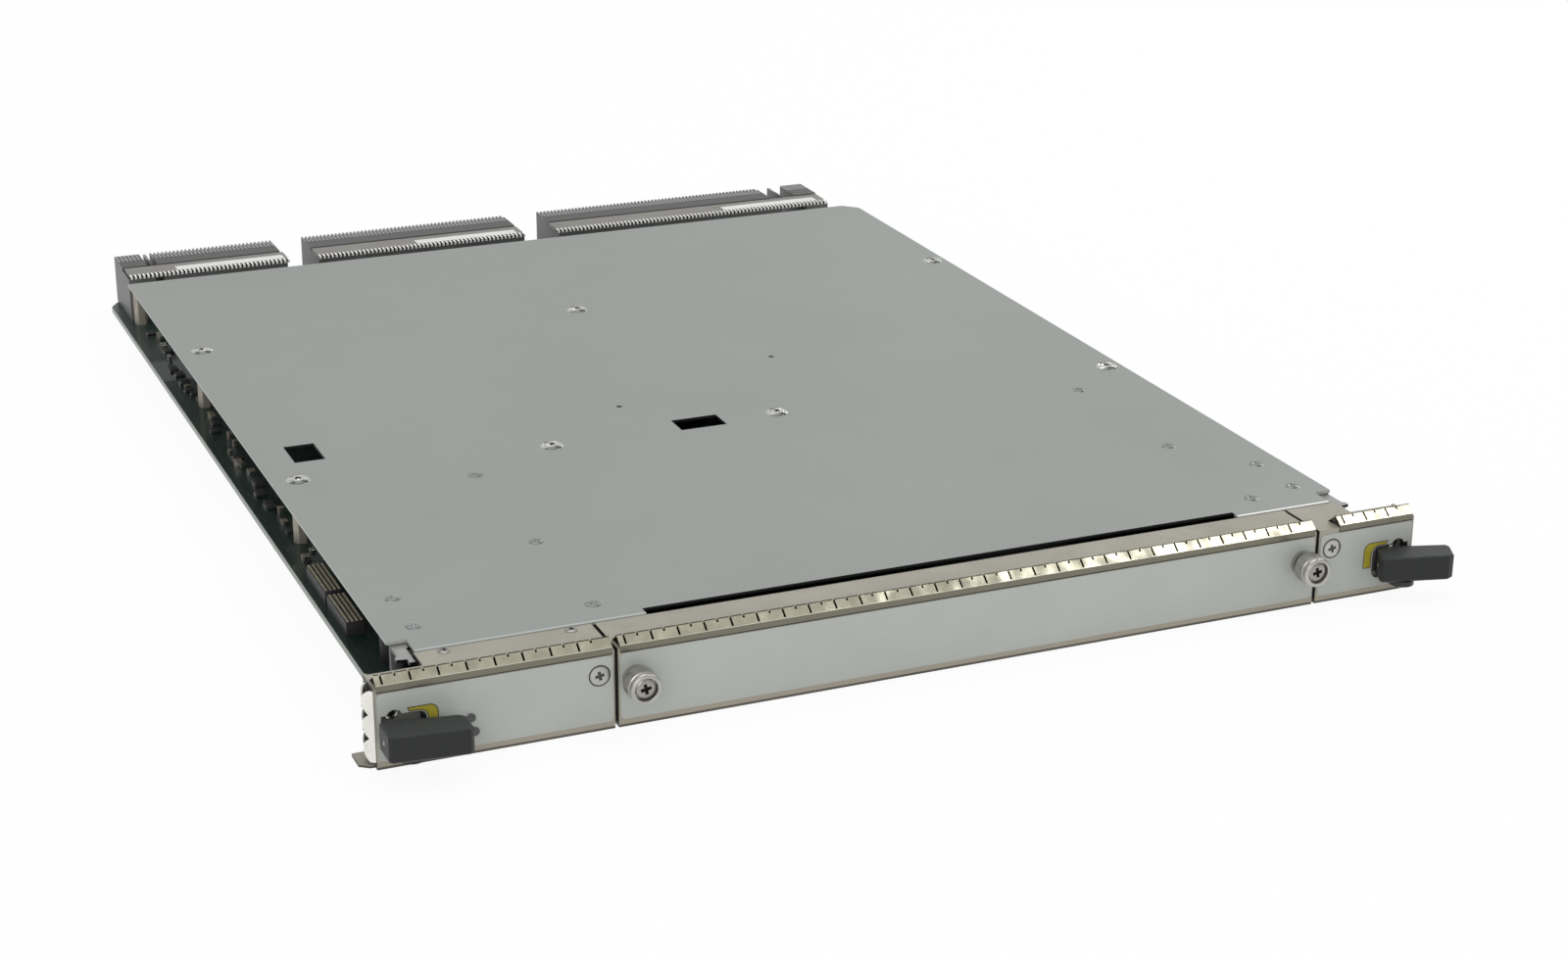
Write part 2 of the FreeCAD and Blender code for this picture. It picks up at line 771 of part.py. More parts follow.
def end_gasket(side):
    """The bowed strip on an end wall, pierced by diamonds that halve at its two ends."""
    name = f"{side}_end_gasket"
    near = "overlay_thick + sheet"
    far = f"{near} + end_gasket_deep"
    middle = f"(({near}) + ({far})) / 2"
    thick = "(2 * gasket_sheet)"
    end = from_end(side, 0)
    outward = -SIDES[side]
    strip = [
        (end, far, f"{outward} * end_gasket_bulge"),
        (end, near),
        (end, f"{near} + {thick}", f"{-outward} * (end_gasket_bulge - {thick})"),
        (end, f"{far} - {thick}"),
    ]
    low = "2 * sheet"
    tall = "panel_height - 3 * sheet"
    body = padded(name, "XY", strip, low, tall)

    def diamonds(drawing):
        for step in range(DIAMOND_STEPS + 1):
            z = f"({low} + {step} * ({tall}) / {DIAMOND_STEPS})"
            outline(drawing, [
                (f"{middle} - diamond_wide / 2", z),
                (middle, f"{z} - diamond_high / 2"),
                (f"{middle} + diamond_wide / 2", z),
                (middle, f"{z} + diamond_high / 2"),
            ])

    pocketed(body, name + "_diamonds", "YZ", span(side, "-2 * end_gasket_bulge", 0)[1], diamonds)
    return body


# Ejector levers

def ejector_bracket(side):
    """A cast foot stepped back for the lever's nose, with the lever's tongue and an arm below the lid."""
    name = f"{side}_ejector_bracket"
    web = span(side, "bracket_web", "bracket_web + sheet")
    arm = span(side, "bracket_web", "bracket_web + bracket_arm")
    pivot = (from_end(side, "pivot_inset"), "-pivot_out")
    tapped = (from_end(side, "bracket_screw_inset"), "bracket_seat", "bracket_screw_high")
    foot = span(side, "2 * sheet", "bracket_web + sheet")
    foot_back = f"{PANEL_BACK} + bracket_deep"
    notch_back = "(cover_front + cover_notch_y)"
    tongue_x = span(side, "pivot_inset - tongue_width / 2", "pivot_inset + tongue_width / 2")
    parts = [
        box(name + "_foot", foot, (PANEL_BACK, foot_back), (BOARD_TOP, TONGUE_TOP)),
        box(name + "_wall", foot, ("bracket_seat", foot_back), (TONGUE_TOP, "bracket_high")),
        box(name + "_tongue", tongue_x, ("-pivot_out", PANEL_BACK), (TONGUE_LOW, TONGUE_TOP)),
        rod(name + "_eye", "Z", (*pivot, TONGUE_LOW), "tongue_width", "tongue_thick"),
        box(name + "_rib", web, (foot_back, f"{notch_back} + 2 * sheet"), (BOARD_TOP, TONGUE_TOP)),
        box(name + "_post", web, (notch_back, f"{notch_back} + 2 * sheet"), (TONGUE_TOP, COVER_LOW)),
        box(name + "_arm", arm, (notch_back, "bracket_back"), (f"{COVER_LOW} - sheet", COVER_LOW)),
    ]
    tools = [
        rod(name + "_pin_hole", "Z", (*pivot, TONGUE_LOW), "pin_dia + 2 * pin_gap", "tongue_thick"),
        rod(name + "_tapped_hole", "Y", tapped, "screw_shank", "bracket_deep"),
    ]
    for y in BRACKET_RIVET_ROWS:
        start = (from_end(side, "bracket_rivet"), y, f"{COVER_LOW} - sheet")
        tools.append(rod(f"{name}_hole_{y}", "Z", start, "rivet_shank", "sheet"))
    return cut(name, fuse(name + "_cast", parts), tools)


def lever(side):
    """A moulded grip that lies on the tongue and leans away from the panel, drawn about its own pivot."""
    name = f"{side}_lever"
    inward = -SIDES[side]
    tip = f"{inward} * lever_reach"
    shape = [
        (f"{inward} * -lever_nose", "nose_back - nose_corner"),
        (f"{inward} * -lever_nose", "nose_corner - nose_fore"),
        (f"{inward} * (nose_corner - lever_nose)", "-nose_fore"),
        (f"{inward} * (lever_reach - lever_fore_corner)", "-lever_fore"),
        (tip, "lever_fore_corner - lever_fore"),
        (tip, "lever_back - lever_corner"),
        (f"{inward} * (lever_reach - lever_corner)", "lever_back"),
        (f"{inward} * (nose_corner - lever_nose)", "nose_back"),
    ]
    body = padded(name, "XY", shape, "lever_low", "lever_high - lever_low")
    dressed(body, "Chamfer", lambda edge: edge.BoundBox.ZLength < TINY, "Size", "lever_edge")
    pocketed(body, name + "_pin_hole", "XY", "lever_low + lever_bore", lambda d: circle(d, 0, 0, "pin_dia"),
             "lever_bore")
    place(body, from_end(side, "pivot_inset"), "-pivot_out", 0)
    if side == "right":
        bind(body, "Placement.Rotation.Angle", "open_angle * 1 deg")
    return body


def pivot_pin(side):
    """A headed pin up through the tongue, fast in the lever."""
    name = f"{side}_pivot_pin"
    pivot = (from_end(side, "pivot_inset"), "-pivot_out")
    head_low = f"({TONGUE_LOW} - running_gap - pin_head_high)"
    head = rod(name + "_head", "Z", (*pivot, head_low), "pin_head", "pin_head_high")
    shank = rod(name + "_shank", "Z", (*pivot, head_low), "pin_dia", f"lever_low + lever_bore - {head_low}")
    return fuse(name, [head, shank])


# Thumbscrews of the bay cover, which turn and draw out through their ferrules

def knob(side):
    """A turned ring, drawn as half a section and revolved about the screw's axis."""
    name = f"{side}_knob"
    body = doc.addObject("PartDesign::Body", name)
    drawing = sketch(body, name + "_section", "XY", 0)
    bore = "neck_dia / 2"
    rim = "knob_dia / 2"
    edge = "knob_edge"
    seat = "knob_seat"
    outline(drawing, [
        (bore, "-knob_back"),
        (f"{rim} - {edge}", "-knob_back"),
        (rim, f"-knob_back - {edge}"),
        (rim, f"-knob_front + {edge}"),
        (f"{rim} - {edge}", "-knob_front"),
        (f"driver_head / 2 + {edge}", "-knob_front"),
        (f"driver_head / 2 + {edge} / 2", f"-knob_front + {seat}"),
        (bore, f"-knob_front + {seat}"),
    ])
    turn = body.newObject("PartDesign::Revolution", name + "_turned")
    turn.Profile = drawing
    turn.ReferenceAxis = (drawing, ["V_Axis"])
    place(body, thumb_x(side), 0, "thumb_height")
    return body


def thumbscrew(side):
    """The screw inside a knob: cross-recessed head, plain neck and threaded end."""
    name = f"{side}_thumbscrew"
    x = thumb_x(side)
    head_back = "(-knob_front + knob_seat)"
    neck_end = f"({PANEL_BACK} + running_gap)"
    head = rod(name + "_head", "Y", (x, f"{head_back} - driver_head_high", "thumb_height"),
               "driver_head", "driver_head_high")
    neck = rod(name + "_neck", "Y", (x, head_back, "thumb_height"), "neck_dia", f"{neck_end} - {head_back}")
    end = rod(name + "_end", "Y", (x, neck_end, "thumb_height"), "thread_dia", f"thread_end - {neck_end}")
    return fuse(name, [head, neck, end])


def ferrule(side):
    """The collar pressed into the bay cover that guides a thumbscrew's neck."""
    name = f"{side}_ferrule"
    x = thumb_x(side)
    flange = rod(name + "_flange", "Y", (x, "-ferrule_out", "thumb_height"), "ferrule_dia", "ferrule_out")
    sleeve = rod(name + "_sleeve", "Y", (x, 0, "thumb_height"), "ferrule_sleeve", f"{PANEL_BACK} + sheet")
    bore = rod(name + "_bore", "Y", (x, "-ferrule_out", "thumb_height"), "neck_dia + 2 * running_gap",
               f"ferrule_out + {PANEL_BACK} + sheet")
    return cut(name, fuse(name + "_collar", [flange, sleeve]), [bore])


def captive_washer(side):
    """The loose ring on a thumbscrew's thread that stops it coming right out."""
    name = f"{side}_captive_washer"
    front = f"{PANEL_BACK} + sheet + thumb_travel + pin_gap"
    start = (thumb_x(side), front, "thumb_height")
    ring = rod(name + "_disc", "Y", start, "ferrule_sleeve", "washer_thick")
    return cut(name, ring, [rod(name + "_bore", "Y", start, "thread_dia + 2 * running_gap", "washer_thick")])


def panel_screws():
    """Flat cross-recessed screws of the two end sections."""
    solids = []
    for side, (inset, height) in COUNTERSUNK.items():
        x = from_end(side, inset)
        head = rod(f"panel_screw_{side}_head", "Y", (x, "-rivet_head_high", height),
                   "panel_screw_head", "rivet_head_high")
        reach = f"{PANEL_BACK} + sheet"
        shank = rod(f"panel_screw_{side}_shank", "Y", (x, 0, height), "panel_screw_shank", reach)
        solids.append(fuse(f"panel_screw_{side}", [head, shank]))
    return group("panel_screws", solids)


def bracket_screws():
    """Round-headed screws in the brackets, which show at the top edge of the levers' openings."""
    solids = []
    for side in SIDES:
        x = from_end(side, "bracket_screw_inset")
        face = (x, "bracket_seat - screw_head_high", "bracket_screw_high")
        head = rod(f"bracket_screw_{side}_head", "Y", face, "bracket_screw_head", "screw_head_high")
        seat = (x, "bracket_seat", "bracket_screw_high")
        shank = rod(f"bracket_screw_{side}_shank", "Y", seat, "screw_shank", "screw_grip")
        solids.append(fuse(f"bracket_screw_{side}", [head, shank]))
    return group("bracket_screws", solids)


def led_lenses():
    """Two small lamps in the left section."""
    solids = []
    for i, (inset, height) in enumerate(LED_PLACES):
        start = (from_end("left", inset), "-2 * overlay_thick", height)
        solids.append(rod(f"led_{i}", "Y", start, "led_dia", "screw_grip"))
    return group("led_lenses", solids)


# Backplane connectors, made of a row of thin wafers behind a comb-edged cap

CONNECTOR_BACK = "(board_back + connector_overhang)"
CONNECTOR_FRONT = f"({CONNECTOR_BACK} - connector_deep)"
CAP_BACK = f"({CONNECTOR_FRONT} + cap_deep)"
BLOCKS = {
    "left": f"(left_block_inset - {HALF})",
    "right": f"({HALF} - right_block_inset - block_wide)",
}
CONNECTORS = {
    "left": (f"({BLOCKS['left']} + block_wide + left_block_gap)", "(centre_low - left_row_gap)"),
    "centre": ("centre_low", "centre_high"),
    "right": ("(centre_high + right_row_gap)", f"({BLOCKS['right']} - right_block_gap)"),
}
CAPS = {
    "left": (f"({BLOCKS['left']} + cap_over)", f"({CONNECTORS['left'][1]} + cap_over)"),
    "centre": ("centre_low", "centre_high"),
    "right": (f"({CONNECTORS['right'][0]} - cap_over)", f"({BLOCKS['right']} + block_wide - cap_over)"),
}
CAP_LOW = "(connector_top - cap_high)"


def stepped(name, low, length):
    """A moulded block that is lower at the front, where the cap lies on it."""
    profile = [
        (CONNECTOR_FRONT, BOARD_TOP),
        (CONNECTOR_BACK, BOARD_TOP),
        (CONNECTOR_BACK, "connector_top"),
        (f"{CAP_BACK} + cap_gap", "connector_top"),
        (f"{CAP_BACK} + cap_gap", CAP_LOW),
        (CONNECTOR_FRONT, CAP_LOW),
    ]
    return padded(name, "YZ", profile, low, length)


def wafer_connector(side):
    name = f"{side}_connector"
    low, high = CONNECTORS[side]
    length = f"({high} - {low})"
    body = stepped(name, low, length)

    def gap(drawing):
        deep = f"({CONNECTOR_BACK} - wafer_deep)"
        face = f"({CONNECTOR_BACK} - wafer_slot)"
        foot = f"({BOARD_TOP} + sheet)"
        outline(drawing, [
            (deep, "connector_top - wafer_high"),
            (face, "connector_top - wafer_high"),
            (face, foot),
            (f"{CONNECTOR_BACK} + sheet", foot),
            (f"{CONNECTOR_BACK} + sheet", "connector_top + sheet"),
            (deep, "connector_top + sheet"),
        ])

    pocket = pocketed(body, name + "_gap", "YZ", f"{low} + wafer_pitch", gap, "wafer_slot")
    return repeated(body, pocket, "wafer_pitch", length)


def connector_cap(side):
    name = f"{side}_connector_cap"
    low, high = CAPS[side]
    length = f"({high} - {low})"
    front = f"({CONNECTOR_FRONT} - sheet)"
    z = (CAP_LOW, "connector_top")
    profile = [(front, z[0]), (CAP_BACK, z[0]), (CAP_BACK, z[1]), (front, z[1])]
    body = padded(name, "YZ", profile, low, length)

    def notch(drawing):
        y = (f"{front} - sheet", f"{front} + comb_deep")
        rectangle(drawing, y, (f"{CAP_LOW} - sheet", "connector_top + sheet"))

    pocket = pocketed(body, name + "_notch", "YZ", f"{low} + comb_pitch", notch, "comb_slot")
    return repeated(body, pocket, "comb_pitch", length)


def guide_block(side):
    """The block at a connector's outer end, with a socket for a guide pin."""
    name = f"{side}_guide_block"
    low = BLOCKS[side]
    body = stepped(name, low, "block_wide")

    def socket(drawing):
        circle(drawing, f"{low} + block_wide / 2", f"({BOARD_TOP} + connector_top) / 2", "socket_dia")

    pocketed(body, name + "_socket", "XZ", f"socket_deep - {CONNECTOR_BACK}", socket)
    return body


# What the board carries under the lid

ROW_CANS = [(f"can_row_left + {i} * can_row_pitch", "can_row_back") for i in range(5)]
SIDE_CAN_X = from_end("left", "side_can_inset")
SIDE_CANS = [(SIDE_CAN_X, f"side_can_front + {i} * side_can_pitch") for i in range(2)]


def heat_sinks():
    """Finned blocks on the switch chips."""
    solids = []
    base = f"({BOARD_TOP} + chip_high)"
    top = f"{base} + sink_high"
    gap_count = int(value("sink_side / sink_pitch")) - 1
    for i, (x, y) in enumerate(PLACES["sink"]):
        deep = around(y, "sink_side")
        block = box(f"sink_{i}_block", around(x, "sink_side"), deep, (base, top))
        gaps = []
        for k in range(gap_count):
            end = f"{x} - sink_side / 2 + {k + 1} * sink_pitch"
            limits = (f"{end} - sink_gap", end)
            gaps.append(box(f"sink_{i}_gap_{k}", limits, deep, (f"{base} + 2 * sheet", top)))
        solids.append(cut(f"sink_{i}", block, gaps))
    return group("heat_sinks", solids)


def switch_chips():
    solids = []
    z = (BOARD_TOP, f"{BOARD_TOP} + chip_high")
    for i, (x, y) in enumerate(PLACES["sink"]):
        solids.append(box(f"chip_{i}", around(x, "chip_side"), around(y, "chip_side"), z))
    return group("switch_chips", solids)


def power_modules():
    solids = []
    z = (BOARD_TOP, f"{BOARD_TOP} + brick_high")
    for i, (x, y) in enumerate(PLACES["brick"]):
        solids.append(box(f"brick_{i}", around(x, "brick_wide"), around(y, "brick_deep"), z))
    return group("power_modules", solids)


def capacitors():
    solids = []
    for i, (x, y) in enumerate(ROW_CANS + SIDE_CANS):
        solids.append(rod(f"can_{i}", "Z", (x, y, BOARD_TOP), "can_dia", "can_high"))
    return group("capacitors", solids)


def bay_connector():
    """The socket at the back of the bay for a plug-in card."""
    wall = "2 * sheet"
    x = around(0, "bay_connector_wide")
    y = ("rail_back - bay_connector_deep", "rail_back")
    z = (BOARD_TOP, f"{BOARD_TOP} + bay_connector_high")
    shell = box("bay_connector_shell", x, y, z)
    mouth_x = (f"{x[0]} + {wall}", f"{x[1]} - {wall}")
    mouth_y = (y[0], "rail_back - bay_connector_deep / 2")
    mouth = box("bay_connector_mouth", mouth_x, mouth_y, (f"{z[0]} + {wall}", f"{z[1]} - {wall}"))
    return cut("bay_connector", shell, [mouth])


def edge_header():
    """The low pin header near the board's left edge."""
    low = f"header_inset - {BOARD_HALF}"
    z = (BOARD_TOP, f"{BOARD_TOP} + header_high")
    return box("edge_header", (low, f"{low} + header_wide"), ("header_front", "header_back"), z)


def check_and_write():
    doc.recompute()
    for item in doc.Objects:
        if "Invalid" in item.State or "Error" in item.State:
            raise RuntimeError(f"{item.Name} failed: {item.State}")
    os.makedirs("parts", exist_ok=True)
    for item in NODES:
        if item.Shape.isNull() or not item.Shape.isValid():
            raise RuntimeError(f"{item.Label} has no valid shape")
        item.Shape.exportStep(f"parts/{item.Label}.step")


SINGLE = [
    main_board, top_cover, posts, cover_screws, board_screws, bay_rivets, bracket_rivets, bay_cover,
    panel_screws, bracket_screws, led_lenses, heat_sinks, switch_chips, power_modules, capacitors,
    bay_connector, edge_header,
]
BY_SIDE = [
    bay_rail, end_panel, end_gasket, ejector_bracket, lever, pivot_pin, knob, thumbscrew, ferrule,
    captive_washer, guide_block,
]
for make in SINGLE:
    piece = make()
    node(piece, piece.Name)
for make in BY_SIDE:
    for side in SIDES:
        piece = make(side)
        node(piece, piece.Name)
for make in (overlay, finger_gasket):
    for side in SECTIONS:
        piece = make(side)
        node(piece, piece.Name)
for make in (wafer_connector, connector_cap):
    for side in CONNECTORS:
        piece = make(side)
        node(piece, piece.Name)
check_and_write()
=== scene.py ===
import json
import math
import random

import bmesh
import bpy
from mathutils import Matrix, Vector


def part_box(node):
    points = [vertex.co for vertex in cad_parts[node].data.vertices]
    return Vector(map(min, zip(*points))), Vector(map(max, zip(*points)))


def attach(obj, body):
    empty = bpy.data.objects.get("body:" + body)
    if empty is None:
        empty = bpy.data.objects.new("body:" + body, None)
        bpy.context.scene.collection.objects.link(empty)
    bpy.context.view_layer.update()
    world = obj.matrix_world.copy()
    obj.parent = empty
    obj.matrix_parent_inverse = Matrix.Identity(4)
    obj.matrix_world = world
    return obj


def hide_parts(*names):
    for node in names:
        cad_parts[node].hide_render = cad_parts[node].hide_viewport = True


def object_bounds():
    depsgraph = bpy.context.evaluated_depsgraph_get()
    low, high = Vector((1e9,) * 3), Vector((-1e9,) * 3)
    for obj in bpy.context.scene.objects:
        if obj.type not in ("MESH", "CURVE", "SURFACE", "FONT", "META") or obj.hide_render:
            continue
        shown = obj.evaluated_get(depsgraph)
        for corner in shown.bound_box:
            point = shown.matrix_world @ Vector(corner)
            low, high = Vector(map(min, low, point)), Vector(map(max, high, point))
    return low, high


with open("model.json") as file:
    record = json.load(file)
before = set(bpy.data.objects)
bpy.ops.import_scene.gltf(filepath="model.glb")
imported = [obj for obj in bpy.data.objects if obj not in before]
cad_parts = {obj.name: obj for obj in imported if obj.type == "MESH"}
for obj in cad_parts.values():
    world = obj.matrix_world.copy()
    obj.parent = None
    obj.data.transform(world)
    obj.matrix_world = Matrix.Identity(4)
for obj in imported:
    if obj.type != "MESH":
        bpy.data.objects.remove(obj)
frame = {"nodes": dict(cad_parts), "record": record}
cad_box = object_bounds()
nodes = frame["nodes"]
MM = 0.001
SEED = 7
random.seed(SEED)


# Shader nodes

def link(tree, source, target):
    tree.links.new(source, target)


def add(tree, kind, inputs=None, **settings):
    """A shader node with its settings and unlinked inputs filled in."""
    made = tree.nodes.new("ShaderNode" + kind)
    for name, setting in settings.items():
        setattr(made, name, setting)
    for name, number in (inputs or {}).items():
        made.inputs[name].default_value = number
    return made


def rgba(colour):
    return (*colour, 1.0)


def coordinates(tree, stretch=(1, 1, 1)):
    """Places in metres, which a grain can stretch along an axis."""
    place = add(tree, "TexCoord")
    mapping = add(tree, "Mapping", {"Scale": stretch})
    link(tree, place.outputs["Object"], mapping.inputs["Vector"])
    return mapping.outputs["Vector"]


def noise(tree, vector, scale, detail=4.0, rough=0.6):
    made = add(tree, "TexNoise", {"Scale": scale, "Detail": detail, "Roughness": rough})
    link(tree, vector, made.inputs["Vector"])
    return made.outputs["Fac"]


def waves(tree, scale, distortion=0.0, phase=0.0):
    """Stripes that follow each other along x."""
    inputs = {"Scale": scale, "Distortion": distortion, "Detail": 0.0, "Phase Offset": phase}
    made = add(tree, "TexWave", inputs, bands_direction="X")
    link(tree, coordinates(tree), made.inputs["Vector"])
    return made.outputs["Fac"]


def spread(tree, source, low=0.0, high=1.0, start=0.3, end=0.7):
    """A source's range from start to end, mapped to the range from low to high."""
    made = add(tree, "MapRange", {"From Min": start, "From Max": end, "To Min": low, "To Max": high})
    link(tree, source, made.inputs["Value"])
    return made.outputs["Result"]


def blend(tree, factor, first, second):
    """Two colours, or sockets that give colours, mixed by a factor."""
    made = add(tree, "Mix", data_type="RGBA")
    link(tree, factor, made.inputs["Factor"])
    for name, colour in (("A", first), ("B", second)):
        socket = next(i for i in made.inputs if i.name == name and i.type == "RGBA")
        if isinstance(colour, bpy.types.NodeSocket):
            link(tree, colour, socket)
        else:
            socket.default_value = rgba(colour)
    return next(o for o in made.outputs if o.type == "RGBA")


def combined(tree, operation, first, second):
    """Two sockets joined by an operation of the math node."""
    made = add(tree, "Math", operation=operation)
    link(tree, first, made.inputs[0])
    link(tree, second, made.inputs[1])
    return made.outputs["Value"]


def both(tree, first, second):
    """Where two masks meet."""
    return combined(tree, "MULTIPLY", first, second)


def along(tree, vector, axis):
    """One part of a vector."""
    parts = add(tree, "SeparateXYZ")
    link(tree, vector, parts.inputs["Vector"])
    return parts.outputs[axis]


def past(tree, axis, origin, start, end):
    """0 before the start and 1 past the end, both in millimetres from an origin along an axis."""
    place = along(tree, add(tree, "TexCoord").outputs["Object"], axis)
    return spread(tree, place, start=origin + start * MM, end=origin + end * MM)


def lean(tree, axis):
    """How far a face looks along an axis, from -1 to 1."""
    return along(tree, add(tree, "NewGeometry").outputs["Normal"], axis)


def facing(tree, axis, start=0.6, end=0.8):
    """1 on the faces that look along an axis, to either side, and 0 on the others."""
    size = add(tree, "Math", operation="ABSOLUTE")
    link(tree, lean(tree, axis), size.inputs[0])
    return spread(tree, size.outputs["Value"], start=start, end=end)


def surface(name, light, dark, rough, metallic=0.0, patch=18.0, grain=900.0, bump=0.02, edge=0.0,
            stretch=(1, 1, 1), coat=0.0, shine=0.5, paint=None, swell=None):
    """A finish that drifts between two colours in patches, with a fine grain in its bump and gloss.

    A swell is the scale and the depth of slow dents. Bump, edge and depth are in millimetres."""
    made = bpy.data.materials.new(name)
    made.use_nodes = True
    tree = made.node_tree
    shader = tree.nodes["Principled BSDF"]
    plain = coordinates(tree)
    patches = noise(tree, plain, patch)
    grains = noise(tree, coordinates(tree, stretch), grain, detail=6.0, rough=0.7)
    speck = add(tree, "HueSaturation", {"Saturation": 1.0})
    link(tree, spread(tree, grains, low=0.94, high=1.06), speck.inputs["Value"])
    link(tree, blend(tree, spread(tree, patches), dark, light), speck.inputs["Color"])
    colour = speck.outputs["Color"]
    if paint:
        colour = paint(tree, colour)
    link(tree, colour, shader.inputs["Base Color"])
    link(tree, spread(tree, grains, *rough), shader.inputs["Roughness"])
    shader.inputs["Metallic"].default_value = metallic
    shader.inputs["Coat Weight"].default_value = coat
    shader.inputs["Specular IOR Level"].default_value = shine
    relief = add(tree, "Bump", {"Strength": 0.6, "Distance": bump * MM})
    link(tree, grains, relief.inputs["Height"])
    if edge:
        rim = add(tree, "Bevel", {"Radius": edge * MM}, samples=4)
        link(tree, rim.outputs["Normal"], relief.inputs["Normal"])
    if swell:
        scale, depth = swell
        dents = add(tree, "Bump", {"Strength": 1.0, "Distance": depth * MM})
        link(tree, noise(tree, plain, scale, detail=1.0), dents.inputs["Height"])
        link(tree, dents.outputs["Normal"], relief.inputs["Normal"])
    link(tree, relief.outputs["Normal"], shader.inputs["Normal"])
    return made


# Paints, which colour a piece by the way its faces look and by their place

WAFER_PITCH = 2.0 * MM
WAVE_GAIN = 20.0            # Blender's wave texture multiplies places by this


def within(tree, axis, low, high, margin, soft=0.1):
    """1 between two places along an axis, less a margin in millimetres at either end."""
    return both(tree, past(tree, axis, low, start=margin, end=margin + soft),
                past(tree, axis, high, start=-margin, end=-margin - soft))


def laminate_paint(tree, colour):
    """Pale fibre at the board's cut edges, and tracks and a field of small tinned pads on its flat sides."""
    track = (0.016, 0.050, 0.036)
    pad = (0.22, 0.21, 0.18)
    fibre = (0.13, 0.16, 0.12)
    place = coordinates(tree)
    dots = add(tree, "TexVoronoi", {"Scale": 230.0, "Randomness": 0.75})
    link(tree, place, dots.inputs["Vector"])
    pads = spread(tree, dots.outputs["Distance"], low=1.0, high=0.0, start=0.16, end=0.22)
    zones = spread(tree, noise(tree, place, scale=26.0), start=0.5, end=0.6)
    tracks = spread(tree, waves(tree, scale=120.0, distortion=3.0), high=0.6, start=0.75, end=0.9)
    padded = blend(tree, both(tree, pads, zones), blend(tree, tracks, colour, track), pad)
    return blend(tree, facing(tree, "Z", start=0.3, end=0.6), fibre, padded)


def lip_paint(tree, colour):
    """Below the fingers, the lip, its foot and the crest are painted dark as shade; the fold has a painted
    highlight.
    """
    # Painted shadow at the foot, painted shade on the lip and the crest, a painted highlight on the fold
    foot_shade = (0.05, 0.045, 0.035)
    painted_shade_tone = (0.185, 0.175, 0.137)
    bright = (0.62, 0.60, 0.50)
    crest_shade = (0.10, 0.095, 0.075)
    fold_height = 1.2 * MM
    low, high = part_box("left_gasket")
    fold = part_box("left_panel")[1][2] + fold_height
    lip = blend(tree, past(tree, "Z", low[2], start=0.35, end=0.45), foot_shade, painted_shade_tone)
    folded = blend(tree, past(tree, "Z", fold, start=-0.18, end=-0.1), lip, bright)
    upper = blend(tree, past(tree, "Z", fold, start=0.05, end=0.15), folded, colour)
    return blend(tree, past(tree, "Z", high[2], start=-0.25, end=-0.2), upper, crest_shade)


def lid_paint(tree, colour):
    """The lid's outer cut edges carry a painted highlight, and those in its openings are painted dark as
    shade.

    A painted highlight runs along the front edge of the top, pale on the left and white on the right."""
    # Painted highlight on the outer cut edges, painted shade in the openings, painted highlight along the
    # front edge
    cut_edge_highlight = (0.44, 0.46, 0.43)
    dark = (0.012, 0.012, 0.012)
    pale = (0.46, 0.49, 0.485)
    white = (0.92, 0.92, 0.90)
    low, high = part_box("top_cover")
    inner = both(tree, within(tree, "Y", low[1], high[1], margin=3.0),
                 within(tree, "X", low[0], high[0], margin=10.0))
    front_highlight = blend(tree, past(tree, "X", 0.0, start=0.0, end=1.0), pale, white)
    top = blend(tree, past(tree, "Y", low[1], start=1.5, end=1.1), colour, front_highlight)
    return blend(tree, facing(tree, "Z", start=0.3, end=0.6), blend(tree, inner, cut_edge_highlight, dark), top)


def sheet_paint(tree, colour):
    """The panels' sideways faces, seams included, are painted dark as shade, and their lower front is painted
    darker as shade, darkest at the floor.
    """
    # Painted shade at the foot, on the lower front and on the sideways faces
    foot_shade = (0.09, 0.08, 0.065)
    painted_shade_tone = (0.34, 0.31, 0.25)
    seam_shade = (0.05, 0.045, 0.04)
    low_edge = blend(tree, past(tree, "Z", 0.0, start=0.9, end=1.0), foot_shade, painted_shade_tone)
    front = both(tree, facing(tree, "Y"), past(tree, "Z", 0.0, start=3.1, end=3.0))
    return blend(tree, facing(tree, "X"), blend(tree, front, colour, low_edge), seam_shade)


def cast_paint(tree, colour):
    """The bracket's sides, and its tongue below the lever, are painted dark as shade."""
    shade = (0.02, 0.02, 0.02)
    sides = blend(tree, facing(tree, "X"), colour, shade)
    return blend(tree, past(tree, "Y", 0.0, start=-0.5, end=0.5), shade, sides)


def can_paint(tree, colour):
    """A can has dark sleeving round its sides and an uncovered metal top.
    On the notch tabs the dark sides are painted shade.
    """
    # A real sleeve on the cans, painted shade on the notch tabs' sides
    sleeve_and_side_shade = (0.014, 0.015, 0.018)
    return blend(tree, facing(tree, "Z", start=0.5, end=0.7), sleeve_and_side_shade, colour)


def grip_side_shade_paint(tree, colour):
    """The lever's sides are painted darker than its flat top, as shade."""
    side = (0.013, 0.014, 0.014)
    return blend(tree, facing(tree, "Z", start=0.3, end=0.7), side, colour)


def front_slope_shade_paint(tree, colour):
    """On the lid's screws and rivets the slopes that look to the front are painted darker, as shade."""
    painted_shade_tone = (0.14, 0.147, 0.14)
    return blend(tree, spread(tree, lean(tree, "Y"), start=-0.24, end=-0.42), colour, painted_shade_tone)


